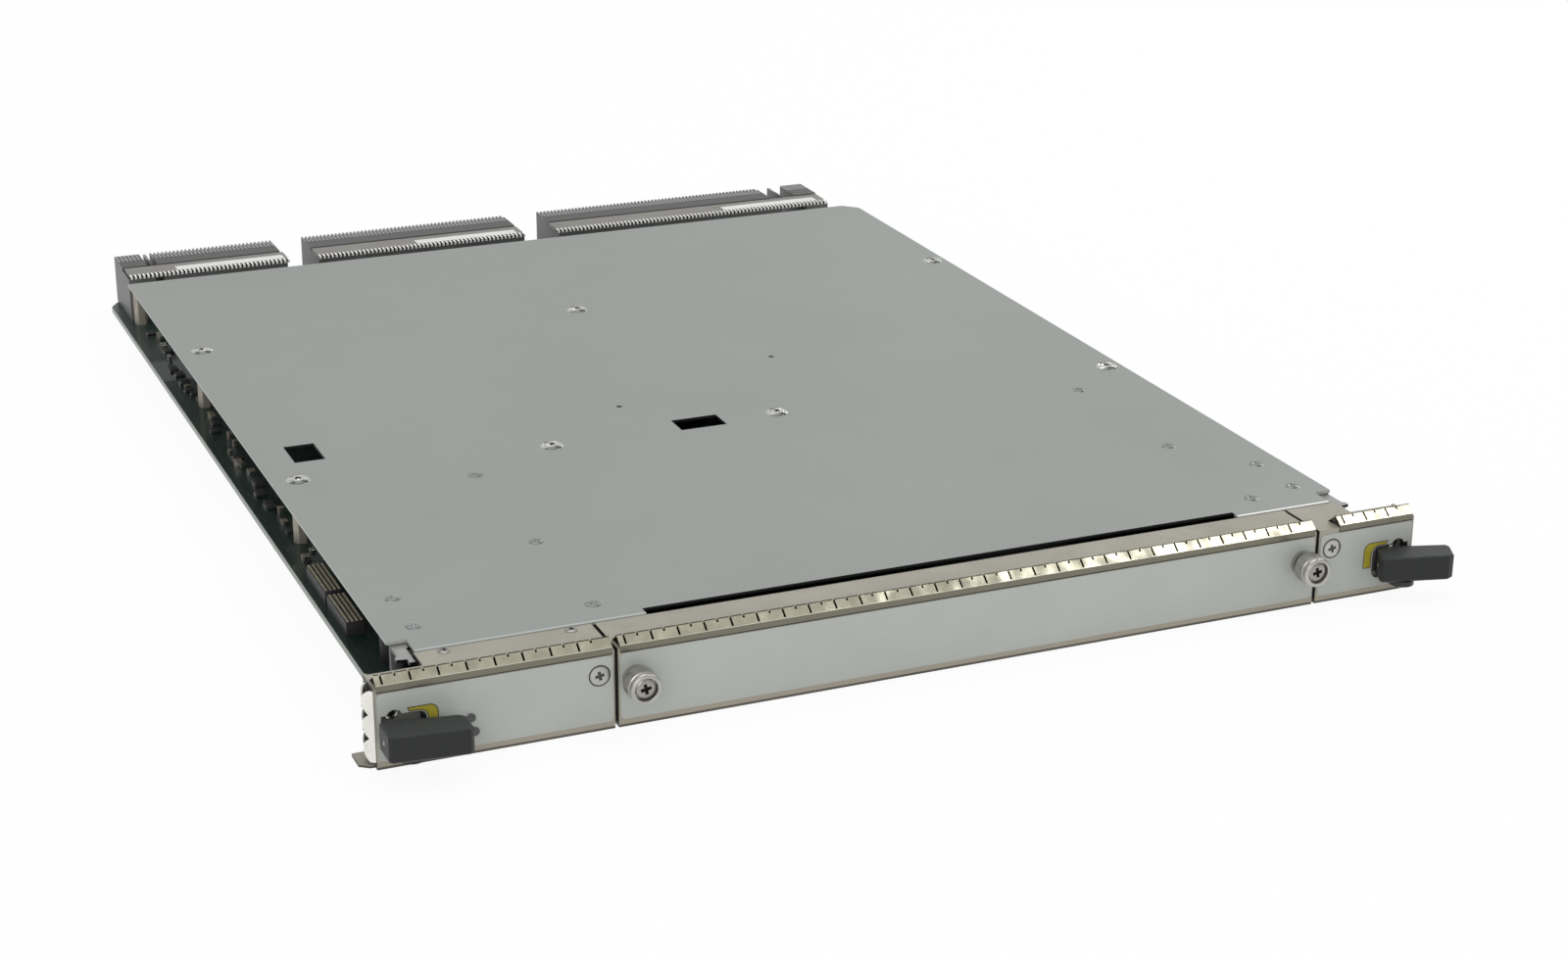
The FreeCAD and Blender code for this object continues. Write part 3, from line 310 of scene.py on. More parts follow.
def wafer_paint(tree, colour, phase=0.0):
    """The step below the caps, a seam and a band across the wafers are painted dark as shade, and the wafers'
    rear ends show as stripes whose dark gaps are painted shade.
    """
    shade = (0.015, 0.015, 0.015)
    pale = (0.30, 0.30, 0.295)
    dark = (0.075, 0.075, 0.075)
    seam_shade = (0.025, 0.025, 0.025)
    band_shade = (0.075, 0.075, 0.077)
    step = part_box("centre_connector_cap")[0][2]
    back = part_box("centre_connector")[1][1]
    flat = facing(tree, "Z", start=0.4, end=0.8)
    inside = past(tree, "Z", step, start=0.05, end=0.15)
    stepped = blend(tree, flat, colour, blend(tree, inside, shade, colour))
    stripes = waves(tree, scale=2 * math.pi / (WAVE_GAIN * WAFER_PITCH), phase=phase)
    # The dark stripes are painted shade in the gaps between the wafers' ends
    ends = blend(tree, spread(tree, stripes, start=0.35, end=0.65), pale, dark)
    seam = blend(tree, past(tree, "Y", back, start=-10.4, end=-10.3), seam_shade, ends)
    band = blend(tree, past(tree, "Y", back, start=-11.4, end=-11.3), band_shade, seam)
    return blend(tree, both(tree, flat, inside), stepped, band)


def shifted_wafer_paint(tree, colour):
    """The same on the outer connectors, whose wafers lie half a pitch further along."""
    return wafer_paint(tree, colour, phase=math.pi)


def comb_paint(tree, colour):
    """The cap's comb is moulded in a cream plastic along its front edge; the walls of the gaps between its
    teeth are painted dark as shade.
    """
    cream = (0.86, 0.85, 0.81)
    gap = (0.03, 0.03, 0.03)
    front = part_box("centre_connector_cap")[0][1]
    comb = past(tree, "Y", front, start=3.8, end=3.7)
    inner = both(tree, facing(tree, "Y"), past(tree, "Y", front, start=3.0, end=3.1))
    tooth = blend(tree, facing(tree, "X"), cream, gap)
    return blend(tree, comb, colour, blend(tree, inner, tooth, gap))


# Finishes of the CAD pieces, by slot, and those of single pieces

SLOT_FINISHES = {
    "laminate": dict(light=(0.008, 0.024, 0.018), dark=(0.005, 0.016, 0.012), rough=(0.30, 0.45),
                     grain=1500, bump=0.01, coat=0.3, paint=laminate_paint),
    "lid_metal": dict(light=(0.325, 0.343, 0.325), dark=(0.306, 0.322, 0.306), rough=(0.52, 0.62),
                      metallic=0.15, patch=9.0, grain=1500, bump=0.012, edge=0.25, stretch=(1, 0.25, 1),
                      shine=0.35, paint=lid_paint),
    "plated_sheet": dict(light=(0.40, 0.383, 0.318), dark=(0.34, 0.325, 0.268), rough=(0.40, 0.52),
                         metallic=0.3, patch=45.0, grain=1300, bump=0.015, edge=0.3, stretch=(0.3, 1, 1),
                         paint=sheet_paint),
    "spring_metal": dict(light=(0.55, 0.524, 0.410), dark=(0.41, 0.39, 0.30), rough=(0.22, 0.26),
                         metallic=0.9, patch=120.0, grain=300, bump=0.001, stretch=(1, 0.4, 1),
                         paint=lip_paint, swell=(75.0, 1.0)),
    "face_film": dict(light=(0.425, 0.445, 0.412), dark=(0.402, 0.420, 0.390), rough=(0.36, 0.48),
                      patch=30.0, grain=2200, bump=0.006, coat=0.05),
    "grip_plastic": dict(light=(0.034, 0.037, 0.036), dark=(0.025, 0.028, 0.027), rough=(0.44, 0.58),
                         patch=70.0, grain=3200, bump=0.03, edge=0.5, shine=0.35, paint=grip_side_shade_paint),
    "bright_steel": dict(light=(0.70, 0.69, 0.66), dark=(0.56, 0.55, 0.53), rough=(0.18, 0.32),
                         metallic=1.0, patch=160.0, grain=2200, bump=0.01),
    "turned_metal": dict(light=(0.50, 0.49, 0.46), dark=(0.38, 0.37, 0.35), rough=(0.24, 0.36),
                         metallic=0.9, patch=120.0, grain=2600, bump=0.01, stretch=(1, 4, 1)),
    "wafer_plastic": dict(light=(0.148, 0.148, 0.146), dark=(0.108, 0.108, 0.108), rough=(0.40, 0.55),
                          patch=60.0, grain=1800, bump=0.015, edge=0.15, paint=wafer_paint),
    "cap_plastic": dict(light=(0.245, 0.235, 0.215), dark=(0.195, 0.188, 0.172), rough=(0.40, 0.55),
                        patch=60.0, grain=1800, bump=0.015, edge=0.15, paint=comb_paint),
    "lens": dict(light=(0.030, 0.034, 0.032), dark=(0.020, 0.023, 0.022), rough=(0.12, 0.22),
                 patch=300.0, grain=2500, bump=0.004, coat=0.6),
    "sink_metal": dict(light=(0.055, 0.055, 0.058), dark=(0.035, 0.035, 0.038), rough=(0.38, 0.52),
                       metallic=0.7, grain=1500, bump=0.01, stretch=(1, 0.15, 1)),
    "chip_plastic": dict(light=(0.030, 0.030, 0.032), dark=(0.020, 0.020, 0.022), rough=(0.45, 0.60),
                         patch=90.0, grain=3000, bump=0.012),
    "can_metal": dict(light=(0.42, 0.42, 0.41), dark=(0.32, 0.32, 0.31), rough=(0.34, 0.46),
                      metallic=0.5, patch=120.0, grain=2000, bump=0.008, paint=can_paint),
}
EXTRA_FINISHES = {
    "tab_metal": dict(light=(0.86, 0.85, 0.80), dark=(0.74, 0.73, 0.68), rough=(0.22, 0.34),
                      metallic=0.8, patch=160.0, grain=900, bump=0.006),
    "yellow_film": dict(light=(0.40, 0.34, 0.03), dark=(0.33, 0.28, 0.025), rough=(0.36, 0.48),
                        patch=220.0, grain=2600, bump=0.004),
    # Printed outlines on the stickers, and painted shade in the rings round the panel screws
    "dark_film": dict(light=(0.050, 0.050, 0.045), dark=(0.035, 0.035, 0.032), rough=(0.40, 0.52),
                      patch=220.0, grain=2600, bump=0.004),
    "white_label": dict(light=(0.80, 0.80, 0.78), dark=(0.72, 0.72, 0.70), rough=(0.45, 0.58),
                        patch=160.0, grain=2600, bump=0.006),
    # A black painted as the shade in recesses, holes, slits and seams
    "shade_black": dict(light=(0.020, 0.018, 0.016), dark=(0.012, 0.011, 0.010), rough=(0.45, 0.60),
                        metallic=0.4, patch=300.0, grain=2600, bump=0.006),
    "cast_metal": dict(light=(0.22, 0.22, 0.21), dark=(0.16, 0.16, 0.15), rough=(0.38, 0.52),
                       metallic=0.2, patch=90.0, grain=1200, bump=0.03, edge=0.3, paint=cast_paint),
    "driver_steel": dict(light=(0.40, 0.38, 0.36), dark=(0.28, 0.27, 0.25), rough=(0.24, 0.36),
                         metallic=0.8, patch=300.0, grain=2200, bump=0.01),
    "burnished": dict(light=(0.34, 0.352, 0.34), dark=(0.27, 0.28, 0.27), rough=(0.16, 0.28),
                      metallic=0.8, patch=300.0, grain=2200, bump=0.008, paint=front_slope_shade_paint),
    "lid_screw": dict(light=(0.82, 0.82, 0.80), dark=(0.66, 0.66, 0.64), rough=(0.12, 0.24),
                      metallic=0.9, patch=300.0, grain=2200, bump=0.004, paint=front_slope_shade_paint),
    "pin_metal": dict(light=(0.62, 0.57, 0.42), dark=(0.46, 0.42, 0.31), rough=(0.35, 0.5),
                      metallic=0.3, patch=300.0, grain=2200, bump=0.005),
    "dull_brass": dict(light=(0.40, 0.38, 0.32), dark=(0.30, 0.28, 0.23), rough=(0.38, 0.52),
                       metallic=0.5, patch=200.0, grain=1600, bump=0.01),
    "shifted_wafers": dict(SLOT_FINISHES["wafer_plastic"], paint=shifted_wafer_paint),
    "tan_ceramic": dict(light=(0.26, 0.21, 0.15), dark=(0.18, 0.145, 0.10), rough=(0.40, 0.55),
                        patch=300.0, grain=3000, bump=0.006),
}
finishes = {name: surface(name, **settings) for name, settings in SLOT_FINISHES.items()}
extras = {name: surface(name, **settings) for name, settings in EXTRA_FINISHES.items()}

for part in frame["record"]["subparts"]:
    mesh = nodes[part["node"]].data
    mesh.materials.clear()
    mesh.materials.append(finishes[part["material_slot"]])
for side in ("left", "right"):
    nodes[side + "_end_gasket"].data.materials[0] = extras["tab_metal"]
    nodes[side + "_ejector_bracket"].data.materials[0] = extras["cast_metal"]
    nodes[side + "_connector"].data.materials[0] = extras["shifted_wafers"]
nodes["cover_standoffs"].data.materials[0] = extras["dull_brass"]


# Mesh helpers

SHARP_ANGLE = math.radians(35.0)
WELD = 1e-6
BLOCK_BEVEL = 0.15 * MM
TO_FRONT = Matrix.Rotation(math.pi / 2, 4, "X")


def piece(name, bm, finish, body):
    """A finished object that rides on a body, smooth except at sharp edges."""
    mesh = bpy.data.meshes.new(name)
    bmesh.ops.recalc_face_normals(bm, faces=bm.faces)
    bm.to_mesh(mesh)
    bm.free()
    mesh.shade_smooth()
    mesh.set_sharp_from_angle(angle=SHARP_ANGLE)
    for one in finish if isinstance(finish, list) else [finish]:
        mesh.materials.append(one)
    made = bpy.data.objects.new(name, mesh)
    bpy.context.scene.collection.objects.link(made)
    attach(made, body)
    return made


def lathe(profile, segments=48, ripple=None):
    """A closed turned form about z from (radius, height) points, with an optional ripple of the radius."""
    bm = bmesh.new()
    rings = []
    for r, z in profile:
        ring = []
        for i in range(segments):
            turn = 2 * math.pi * i / segments
            grown = r + (ripple(turn, r, z) if ripple else 0.0)
            ring.append(bm.verts.new((grown * math.cos(turn), grown * math.sin(turn), z)))
        rings.append(ring)
    for low, high in zip(rings, rings[1:]):
        for i in range(segments):
            k = (i + 1) % segments
            bm.faces.new((low[i], low[k], high[k], high[i]))
    bm.faces.new(rings[0][::-1])
    bm.faces.new(rings[-1])
    return bm


def prism(points, low, high, shrink=1.0):
    """An outline in x and y, carried from one height to another, with its lower end shrunk."""
    bm = bmesh.new()
    bottom = [bm.verts.new((x * shrink, y * shrink, low)) for x, y in points]
    top = [bm.verts.new((x, y, high)) for x, y in points]
    bm.faces.new(bottom[::-1])
    bm.faces.new(top)
    for i in range(len(points)):
        k = (i + 1) % len(points)
        bm.faces.new((bottom[i], bottom[k], top[k], top[i]))
    return bm


def block(size, foot, bevel=BLOCK_BEVEL, index=0):
    """A bevelled block that stands on a foot point, with its faces given one material."""
    bm = bmesh.new()
    centre = Vector(foot) + Vector((0, 0, size[2] / 2))
    placing = Matrix.Translation(centre) @ Matrix.Diagonal((*size, 1.0))
    bmesh.ops.create_cube(bm, size=1.0, matrix=placing)
    widest = min(size) / 3
    bmesh.ops.bevel(bm, geom=bm.edges[:], offset=min(bevel, widest), segments=2, profile=0.7, affect="EDGES")
    for face in bm.faces:
        face.material_index = index
    return bm


def between(low, high, bevel=BLOCK_BEVEL):
    """A bevelled block between two corners."""
    low, high = Vector(low), Vector(high)
    middle = (low + high) / 2
    return block(high - low, (middle.x, middle.y, low.z), bevel)


def temporary(bm):
    """An object for the time of a cut."""
    mesh = bpy.data.meshes.new("temporary")
    bmesh.ops.recalc_face_normals(bm, faces=bm.faces)
    bm.to_mesh(mesh)
    bm.free()
    made = bpy.data.objects.new("temporary", mesh)
    bpy.context.scene.collection.objects.link(made)
    return made


def carved(form, cutter):
    """The form less the cutter, as a new bmesh whose cut faces have material 1."""
    base, tool = temporary(form), temporary(cutter)
    for item in (base, tool):
        item.data.materials.append(finishes["bright_steel"])
        item.data.materials.append(extras["shade_black"])
    # Cut faces take the black that is painted as the shade in a recess
    for face in tool.data.polygons:
        face.material_index = 1
    change = base.modifiers.new("carve", "BOOLEAN")
    change.object = tool
    change.operation = "DIFFERENCE"
    change.solver = "EXACT"
    shown = base.evaluated_get(bpy.context.evaluated_depsgraph_get())
    out = bmesh.new()
    out.from_mesh(shown.to_mesh())
    shown.to_mesh_clear()
    for item in (base, tool):
        mesh = item.data
        bpy.data.objects.remove(item)
        bpy.data.meshes.remove(mesh)
    return out


def joined(forms):
    """Several forms, each with its own placing, in one bmesh."""
    out = bmesh.new()
    for bm, placing in forms:
        mesh = bpy.data.meshes.new("copy")
        bm.to_mesh(mesh)
        mesh.transform(placing)
        out.from_mesh(mesh)
        bpy.data.meshes.remove(mesh)
    return out


def copies(form, placings):
    """One form at several places, in one bmesh. The form itself is freed."""
    out = joined([(form, placing) for placing in placings])
    form.free()
    return out


def merged(forms):
    """Forms that are already in place, in one bmesh. The single ones are freed."""
    out = joined([(form, Matrix()) for form in forms])
    for form in forms:
        form.free()
    return out


def islands(node):
    """The lowest and highest corner of each separate solid of a CAD node."""
    bm = bmesh.new()
    bm.from_mesh(nodes[node].data)
    bmesh.ops.remove_doubles(bm, verts=bm.verts, dist=WELD)
    left, found = set(bm.verts), []
    while left:
        start = left.pop()
        heap, group = [start], [start]
        while heap:
            for edge in heap.pop().link_edges:
                for vert in edge.verts:
                    if vert in left:
                        left.remove(vert)
                        heap.append(vert)
                        group.append(vert)
        found.append(tuple(Vector(f(v.co[i] for v in group) for i in range(3)) for f in (min, max)))
    bm.free()
    return sorted(found, key=lambda box: tuple(box[0]))


def centres(node):
    """The middle of each separate solid of a CAD node."""
    return [(low + high) / 2 for low, high in islands(node)]


# Screws, whose heads are domed and carry a cross recess

DRIVER_TURN = 0.2           # in radians, on the front
CROSS_ARMS = 4
CROSS_TAPER = 0.5
CROSS_OVERCUT = 0.3
RECESS_REACH = 0.55         # a share of the head's radius
RECESS_HALF = 0.19          # the same
RECESS_DEEP = 0.75          # a share of the head's height
RECESS_EXTRA = 0.2 * MM
# Shares of the shank's radius, across and above the tip
SHANK_TIP = ((0.7, 0.0), (1.0, 0.3))
# Shares of the head's radius, with shares of its height or, from the top down, of its dome
HEAD_SIDE = ((0.97, 0.0), (1.0, 0.12), (1.0, 0.35))
HEAD_DOME = ((0.93, 0.75), (0.75, 0.35), (0.45, 0.08), (0.2, 0.0))


def cross(reach, half, depth, top):
    """A tapered cross that cuts a driver's recess below a height."""
    arm = [(half, reach), (-half, reach), (-half, half)]
    outline = []
    for _ in range(CROSS_ARMS):
        outline += arm
        arm = [(-y, x) for x, y in arm]
    return prism(outline, top - depth, top + CROSS_OVERCUT * depth, shrink=CROSS_TAPER)


def screw(head, high, dome, shank, grip):
    """A screw with its head's underside at height 0."""
    r, s = head / 2, shank / 2
    profile = [(s * wide, -grip + share * s) for wide, share in SHANK_TIP]
    profile.append((s, 0.0))
    profile += [(r * wide, share * high) for wide, share in HEAD_SIDE]
    profile += [(r * wide, high - dome * share) for wide, share in HEAD_DOME]
    recess = cross(r * RECESS_REACH, r * RECESS_HALF, RECESS_DEEP * high + RECESS_EXTRA, high)
    return carved(lathe(profile), recess)


def screws(node, head, high, dome, shank, up=False, turned=None, finish=finishes["bright_steel"]):
    """A carved screw in place of each solid of a node, which faces up or to the front.

    Each is turned at random where no angle is given."""
    solids = islands(node)
    first_low, first_high = solids[0]
    grip = (first_high - first_low)[2 if up else 1] - high
    form = screw(head, high, dome, shank, grip)
    placings = []
    for low, top in solids:
        turn = Matrix.Rotation(random.uniform(0, math.pi / 2) if turned is None else turned, 4, "Z")
        middle = (low + top) / 2
        if up:
            placings.append(Matrix.Translation((middle.x, middle.y, top.z - high)) @ turn)
        else:
            placings.append(Matrix.Translation((middle.x, low.y + high, middle.z)) @ TO_FRONT @ turn)
    made = piece(node + "_carved", copies(form, placings), [finish, extras["shade_black"]], "board")
    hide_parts(node)


screws("cover_screws", head=6.4 * MM, high=0.9 * MM, dome=0.5 * MM, shank=3.0 * MM, up=True,
       finish=extras["lid_screw"])
screws("bracket_screws", head=5.3 * MM, high=0.9 * MM, dome=0.6 * MM, shank=3.0 * MM)
screws("panel_screws", head=7.0 * MM, high=0.25 * MM, dome=0.08 * MM, shank=3.4 * MM, turned=DRIVER_TURN,
       finish=finishes["turned_metal"])


# Raised rims in the lid round its screws and rivets

RIVET_RIM = dict(inner=2.55 * MM, outer=3.2 * MM, high=0.12 * MM)
RIMS = {
    "cover_screws": (dict(inner=3.25 * MM, outer=4.9 * MM, high=0.6 * MM), extras["lid_screw"]),
    "bay_rivets": (RIVET_RIM, extras["burnished"]),
    "bracket_rivets": (RIVET_RIM, extras["burnished"]),
}
RIM_CREST = 0.45            # a share of the ring's width
RIM_EDGE = 0.1              # the same
RIM_SHOULDER = 0.3          # a share of its height
lid_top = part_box("top_cover")[1][2]


def rim(inner, outer, high):
    """A raised ring that slopes both ways from its crest."""
    crest = (1 - RIM_CREST) * inner + RIM_CREST * outer
    edge = outer - RIM_EDGE * (outer - inner)
    shoulder = RIM_SHOULDER * high
    return lathe([(inner, 0.0), (outer, 0.0), (edge, shoulder), (crest, high), (inner, shoulder)])


def on_lid(places):
    """Placings on the lid's top, above the given places."""
    return [Matrix.Translation((place[0], place[1], lid_top)) for place in places]


for node, (sizes, finish) in RIMS.items():
    piece(node + "_rims", copies(rim(**sizes), on_lid(centres(node))), finish, "board")


# Two pinholes in the lid, each a dark disc with a burr round it, painted as the shade in the hole

PINHOLES = ((-34.7 * MM, 238.3 * MM), (52.6 * MM, 276.2 * MM))
BURR = ((0.4 * MM, 0.0), (1.3 * MM, 0.0), (1.2 * MM, 0.05 * MM), (0.9 * MM, 0.08 * MM), (0.5 * MM, 0.03 * MM))
burr = lathe(BURR, segments=24)
piece("lid_pinholes", copies(burr, on_lid(PINHOLES)), extras["shade_black"], "board")


# Thumbscrews: a knurled ring round a cross-recessed screw

KNURL_FROM = 5.9 * MM       # the radius past which the ring is knurled
KNURL_TEETH = 40
KNURL_RISE = 0.22 * MM
KNURL_DEPTH = 0.10 * MM
KNURL_ROWS = 24
KNOB_SEGMENTS = 160
KNOB_BORE = 3.0 * MM
KNOB_SEAT = 2.2 * MM        # the depth of the recessed face
KNOB_EDGE = 0.7 * MM        # the bevels at the back and the front
KNOB_BAND = 2.6 * MM        # the plain band in front of the knurl
KNOB_GROOVE = 0.35 * MM     # the depth of the groove between the two
GROOVE_SLOPE = 0.2 * MM
GROOVE_WIDE = 0.5 * MM
BAND_STEP = 0.15 * MM       # how far the band lies below the knurl
BAND_BEVEL = (0.4 * MM, 0.2 * MM)
CUP_RIM = (4.6 * MM, 4.35 * MM, 4.15 * MM)
CUP_BEVEL = 0.15 * MM
THREAD_TURNS = 14
THREAD_PITCH = 0.7 * MM
THREAD_ROOT = 1.75 * MM
THREAD_CREST = 2.0 * MM
THREAD_START = 1.0 * MM     # above the tip
SCREW_TIP = 1.2 * MM
TIP_END = (1.7 * MM, 0.6 * MM)
NECK_BACK = -1.75 * MM
NECK_FRONT = -1.7 * MM
SHOULDER = 3.0 * MM
DRIVEN_DEEP = 1.5 * MM      # the head that the driver turns
DRIVEN_RADIUS = 3.8 * MM
DRIVEN_BEVEL = (0.1 * MM, 0.2 * MM)    # across and along, as in the other bevels
DRIVEN_EDGE = ((DRIVEN_RADIUS, 0.5 * MM), (3.4 * MM, 0.15 * MM), (2.4 * MM, 0.0), (1.0 * MM, 0.0))


def knurl(turn, r, z):
    """A fine diagonal knurl on the knob's rim."""
    if r < KNURL_FROM:
        return 0.0
    first = math.sin(KNURL_TEETH * turn + z / KNURL_RISE)
    second = math.sin(KNURL_TEETH * turn - z / KNURL_RISE)
    return -KNURL_DEPTH * (1 - max(first, second)) / 2


def knob_profile(low, high, radius):
    """Points from the ring's back to its seat: knurled rim, groove, plain band and recessed face."""
    start, end = low + KNOB_EDGE, high - KNOB_BAND
    groove_start = end + GROOVE_SLOPE
    groove_end = groove_start + GROOVE_WIDE
    groove, band, seat = radius - KNOB_GROOVE, radius - BAND_STEP, high - KNOB_SEAT
    points = [(KNOB_BORE, low), (radius - KNOB_EDGE, low), (radius - KNURL_DEPTH, start)]
    points += [(radius, start + (end - start) * i / KNURL_ROWS) for i in range(KNURL_ROWS + 1)]
    points += [(groove, groove_start), (groove, groove_end), (band, groove_end + GROOVE_SLOPE)]
    points += [(band, high - KNOB_EDGE), (radius - BAND_BEVEL[0], high - BAND_BEVEL[1])]
    points.append((radius - KNOB_EDGE, high))
    points += zip(CUP_RIM, (high, high - CUP_BEVEL, seat))
    points.append((KNOB_BORE, seat))
    return points


def thumbscrew_profile(back, face):
    """Points from the screw's tip to its face: thread, shoulder and a bevelled head."""
    seat = face - DRIVEN_DEEP
    points = [(SCREW_TIP, back), (TIP_END[0], back + TIP_END[1])]
    for i in range(THREAD_TURNS):
        z = back + THREAD_START + THREAD_PITCH * i
        points += [(THREAD_ROOT, z), (THREAD_CREST, z + THREAD_PITCH / 2)]
    points += [(THREAD_CREST, NECK_BACK), (SHOULDER, NECK_FRONT), (SHOULDER, seat)]
    points += [(DRIVEN_RADIUS - DRIVEN_BEVEL[0], seat), (DRIVEN_RADIUS, seat + DRIVEN_BEVEL[1])]
    points += [(r, face - drop) for r, drop in DRIVEN_EDGE]
    return points


for side in ("left", "right"):
    low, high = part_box(side + "_knob")
    middle = (Vector(low) + Vector(high)) / 2
    placing = Matrix.Translation((middle.x, 0.0, middle.z)) @ TO_FRONT
    ring = lathe(knob_profile(-high[1], -low[1], (high[0] - low[0]) / 2), KNOB_SEGMENTS, knurl)
    made = piece(side + "_knob_knurled", copies(ring, [placing]), finishes["turned_metal"], side + "_screw")
    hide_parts(side + "_knob")
    low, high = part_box(side + "_thumbscrew")
    recess = cross(reach=2.3 * MM, half=0.75 * MM, depth=1.3 * MM, top=-low[1])
    form = carved(lathe(thumbscrew_profile(-high[1], -low[1])), recess)
    made = piece(side + "_thumbscrew_carved", copies(form, [placing @ Matrix.Rotation(DRIVER_TURN, 4, "Z")]),
                 [extras["driver_steel"], extras["shade_black"]], side + "_screw")
    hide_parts(side + "_thumbscrew")


# A flat tab in front of each ejector bracket's arm, which shows in the lid's notch

SHEET = 1.2 * MM
TAB_DROP = 0.7 * MM
# The right tab from above, in millimetres
TAB_OUTLINE = (
    (194.2, 36.0), (188.2, 36.0), (188.2, 33.4), (189.4, 32.4), (189.4, 20.4), (191.6, 20.4), (191.6, 23.4),
    (195.4, 24.0), (195.4, 26.0), (194.2, 27.2),
)
tab_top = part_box("left_ejector_bracket")[1][2] - TAB_DROP
tabs = []
for way in (-1, 1):
    tabs.append(prism([(way * x * MM, y * MM) for x, y in TAB_OUTLINE], tab_top - SHEET, tab_top))
# The can finish paints the tabs' sides dark, as shade
piece("notch_tabs", merged(tabs), finishes["can_metal"], "board")


# A dark sheet below the finger strips, painted as the shade that shows as a line in every slit

STRIP_SEATS = {"left": "left_panel", "bay": "bay_cover", "right": "right_panel"}
SLIT_SHADE_END = 0.5 * MM
SLIT_SHADE_SIDE = 0.6 * MM
SLIT_SHADE_THICK = 0.06 * MM
SLIT_SHADE_BEVEL = 0.02 * MM
pads = []
for section, seat in STRIP_SEATS.items():
    low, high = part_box(section + "_gasket")
    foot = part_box(seat)[1][2]
    pads.append(between((low[0] + SLIT_SHADE_END, low[1] + SLIT_SHADE_SIDE, foot),
                        (high[0] - SLIT_SHADE_END, high[1] - SLIT_SHADE_SIDE, foot + SLIT_SHADE_THICK),
                        SLIT_SHADE_BEVEL))
piece("gasket_slit_shade", merged(pads), extras["shade_black"], "board")


# Dark strips behind the two seams of the front, painted as the shade in the seams, each on the back of an
# outer panel

SEAM_SHADE_LAP = 2.5 * MM         # on the outer panel
SEAM_SHADE_REACH = 0.4 * MM       # behind the bay cover
SEAM_SHADE_THICK = 0.8 * MM
SEAM_SHADE_BEVEL = 0.2 * MM
bay_low, bay_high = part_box("bay_cover")
strips = []
for side, way in (("left", -1), ("right", 1)):
    low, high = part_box(side + "_panel")
    seam, other = (high[0], bay_low[0]) if side == "left" else (low[0], bay_high[0])
    start, end = sorted((seam + way * SEAM_SHADE_LAP, other - way * SEAM_SHADE_REACH))
    back = low[1] + SHEET
    strips.append(between((start, back, 2 * SHEET), (end, back + SEAM_SHADE_THICK, high[2] - SHEET), SEAM_SHADE_BEVEL))
piece("seam_shade_strips", merged(strips), extras["shade_black"], "board")


# Flush rivets with a dished middle

# Shares of the shank's radius, across and above its end, and of the head's radius and height
RIVET_END = ((0.8, 0.0), (1.0, 0.2))
RIVET_HEAD = ((1.0, 0.0), (1.0, 0.4), (0.9, 1.0), (0.55, 1.0), (0.42, 0.2), (0.1, 0.05))


def dished(head, high, shank, grip):
    """A rivet whose head is hollow in the middle, with the head's underside at height 0."""
    r, s = head / 2, shank / 2
    points = [(s * wide, -grip + share * s) for wide, share in RIVET_END]
    points.append((s, 0.0))
    points += [(r * wide, share * high) for wide, share in RIVET_HEAD]
    return lathe(points, segments=36)


for node in ("bay_rivets", "bracket_rivets"):
    rivet = dished(head=5.0 * MM, high=0.25 * MM, shank=3.0 * MM, grip=2.4 * MM)
    form = carved(rivet, cross(reach=1.3 * MM, half=0.35 * MM, depth=0.5 * MM, top=0.1 * MM))
    made = piece(node + "_dished", copies(form, on_lid(centres(node))),
                 [extras["burnished"], extras["shade_black"]], "board")
    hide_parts(node)


# Two small screws on the left flange

FLANGE_SCREWS = (-178.7 * MM, -131.8 * MM)
FLANGE_INSET = 2.7 * MM
flange_back, flange_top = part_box("left_panel")[1][1:]
small = screw(head=4.6 * MM, high=0.6 * MM, dome=0.4 * MM, shank=1.6 * MM, grip=0.9 * MM)
placings = [Matrix.Translation((x, flange_back - FLANGE_INSET, flange_top)) for x in FLANGE_SCREWS]
piece("flange_screws", copies(small, placings), [extras["driver_steel"], extras["shade_black"]], "board")


# Dark rings round the panel screws, painted as the shade in the gap round each head

RING_INNER = 3.4 * MM
RING_OUTER = 4.1 * MM
FILM = 0.03 * MM
ring = lathe([(RING_INNER, 0.0), (RING_OUTER, 0.0), (RING_OUTER, FILM), (RING_INNER, 2 * FILM)])
placings = [Matrix.Translation((middle.x, 0.0, middle.z)) @ TO_FRONT for middle in centres("panel_screws")]
piece("panel_screw_rings", copies(ring, placings), extras["dark_film"], "board")


# Bare yellow stickers with a dark outline, each a band round the inner end of a lever's opening

BAND_OUTER = -187.6 * MM
BAND_INNER = -191.3 * MM
BAND_TOP = 21.9 * MM
BAND_UNDER = 20.2 * MM
BAND_FOOT = 11.3 * MM
OUTER_ARC = 3.2 * MM
INNER_ARC = 3.4 * MM
END_TOP = -198.8 * MM
END_UNDER = -198.0 * MM
END_TOP_SHIFT = 1.4         # the slanted end moves by these times the inset
END_UNDER_SHIFT = 0.8
STICKER_EDGE = 0.35 * MM


def rounded(centre, radius, start, end, steps=6):
    """Points along an arc, given by its centre and its first and last angle in degrees."""
    turns = [math.radians(start + (end - start) * i / steps) for i in range(steps + 1)]
    return [(centre[0] + radius * math.cos(turn), centre[1] + radius * math.sin(turn)) for turn in turns]


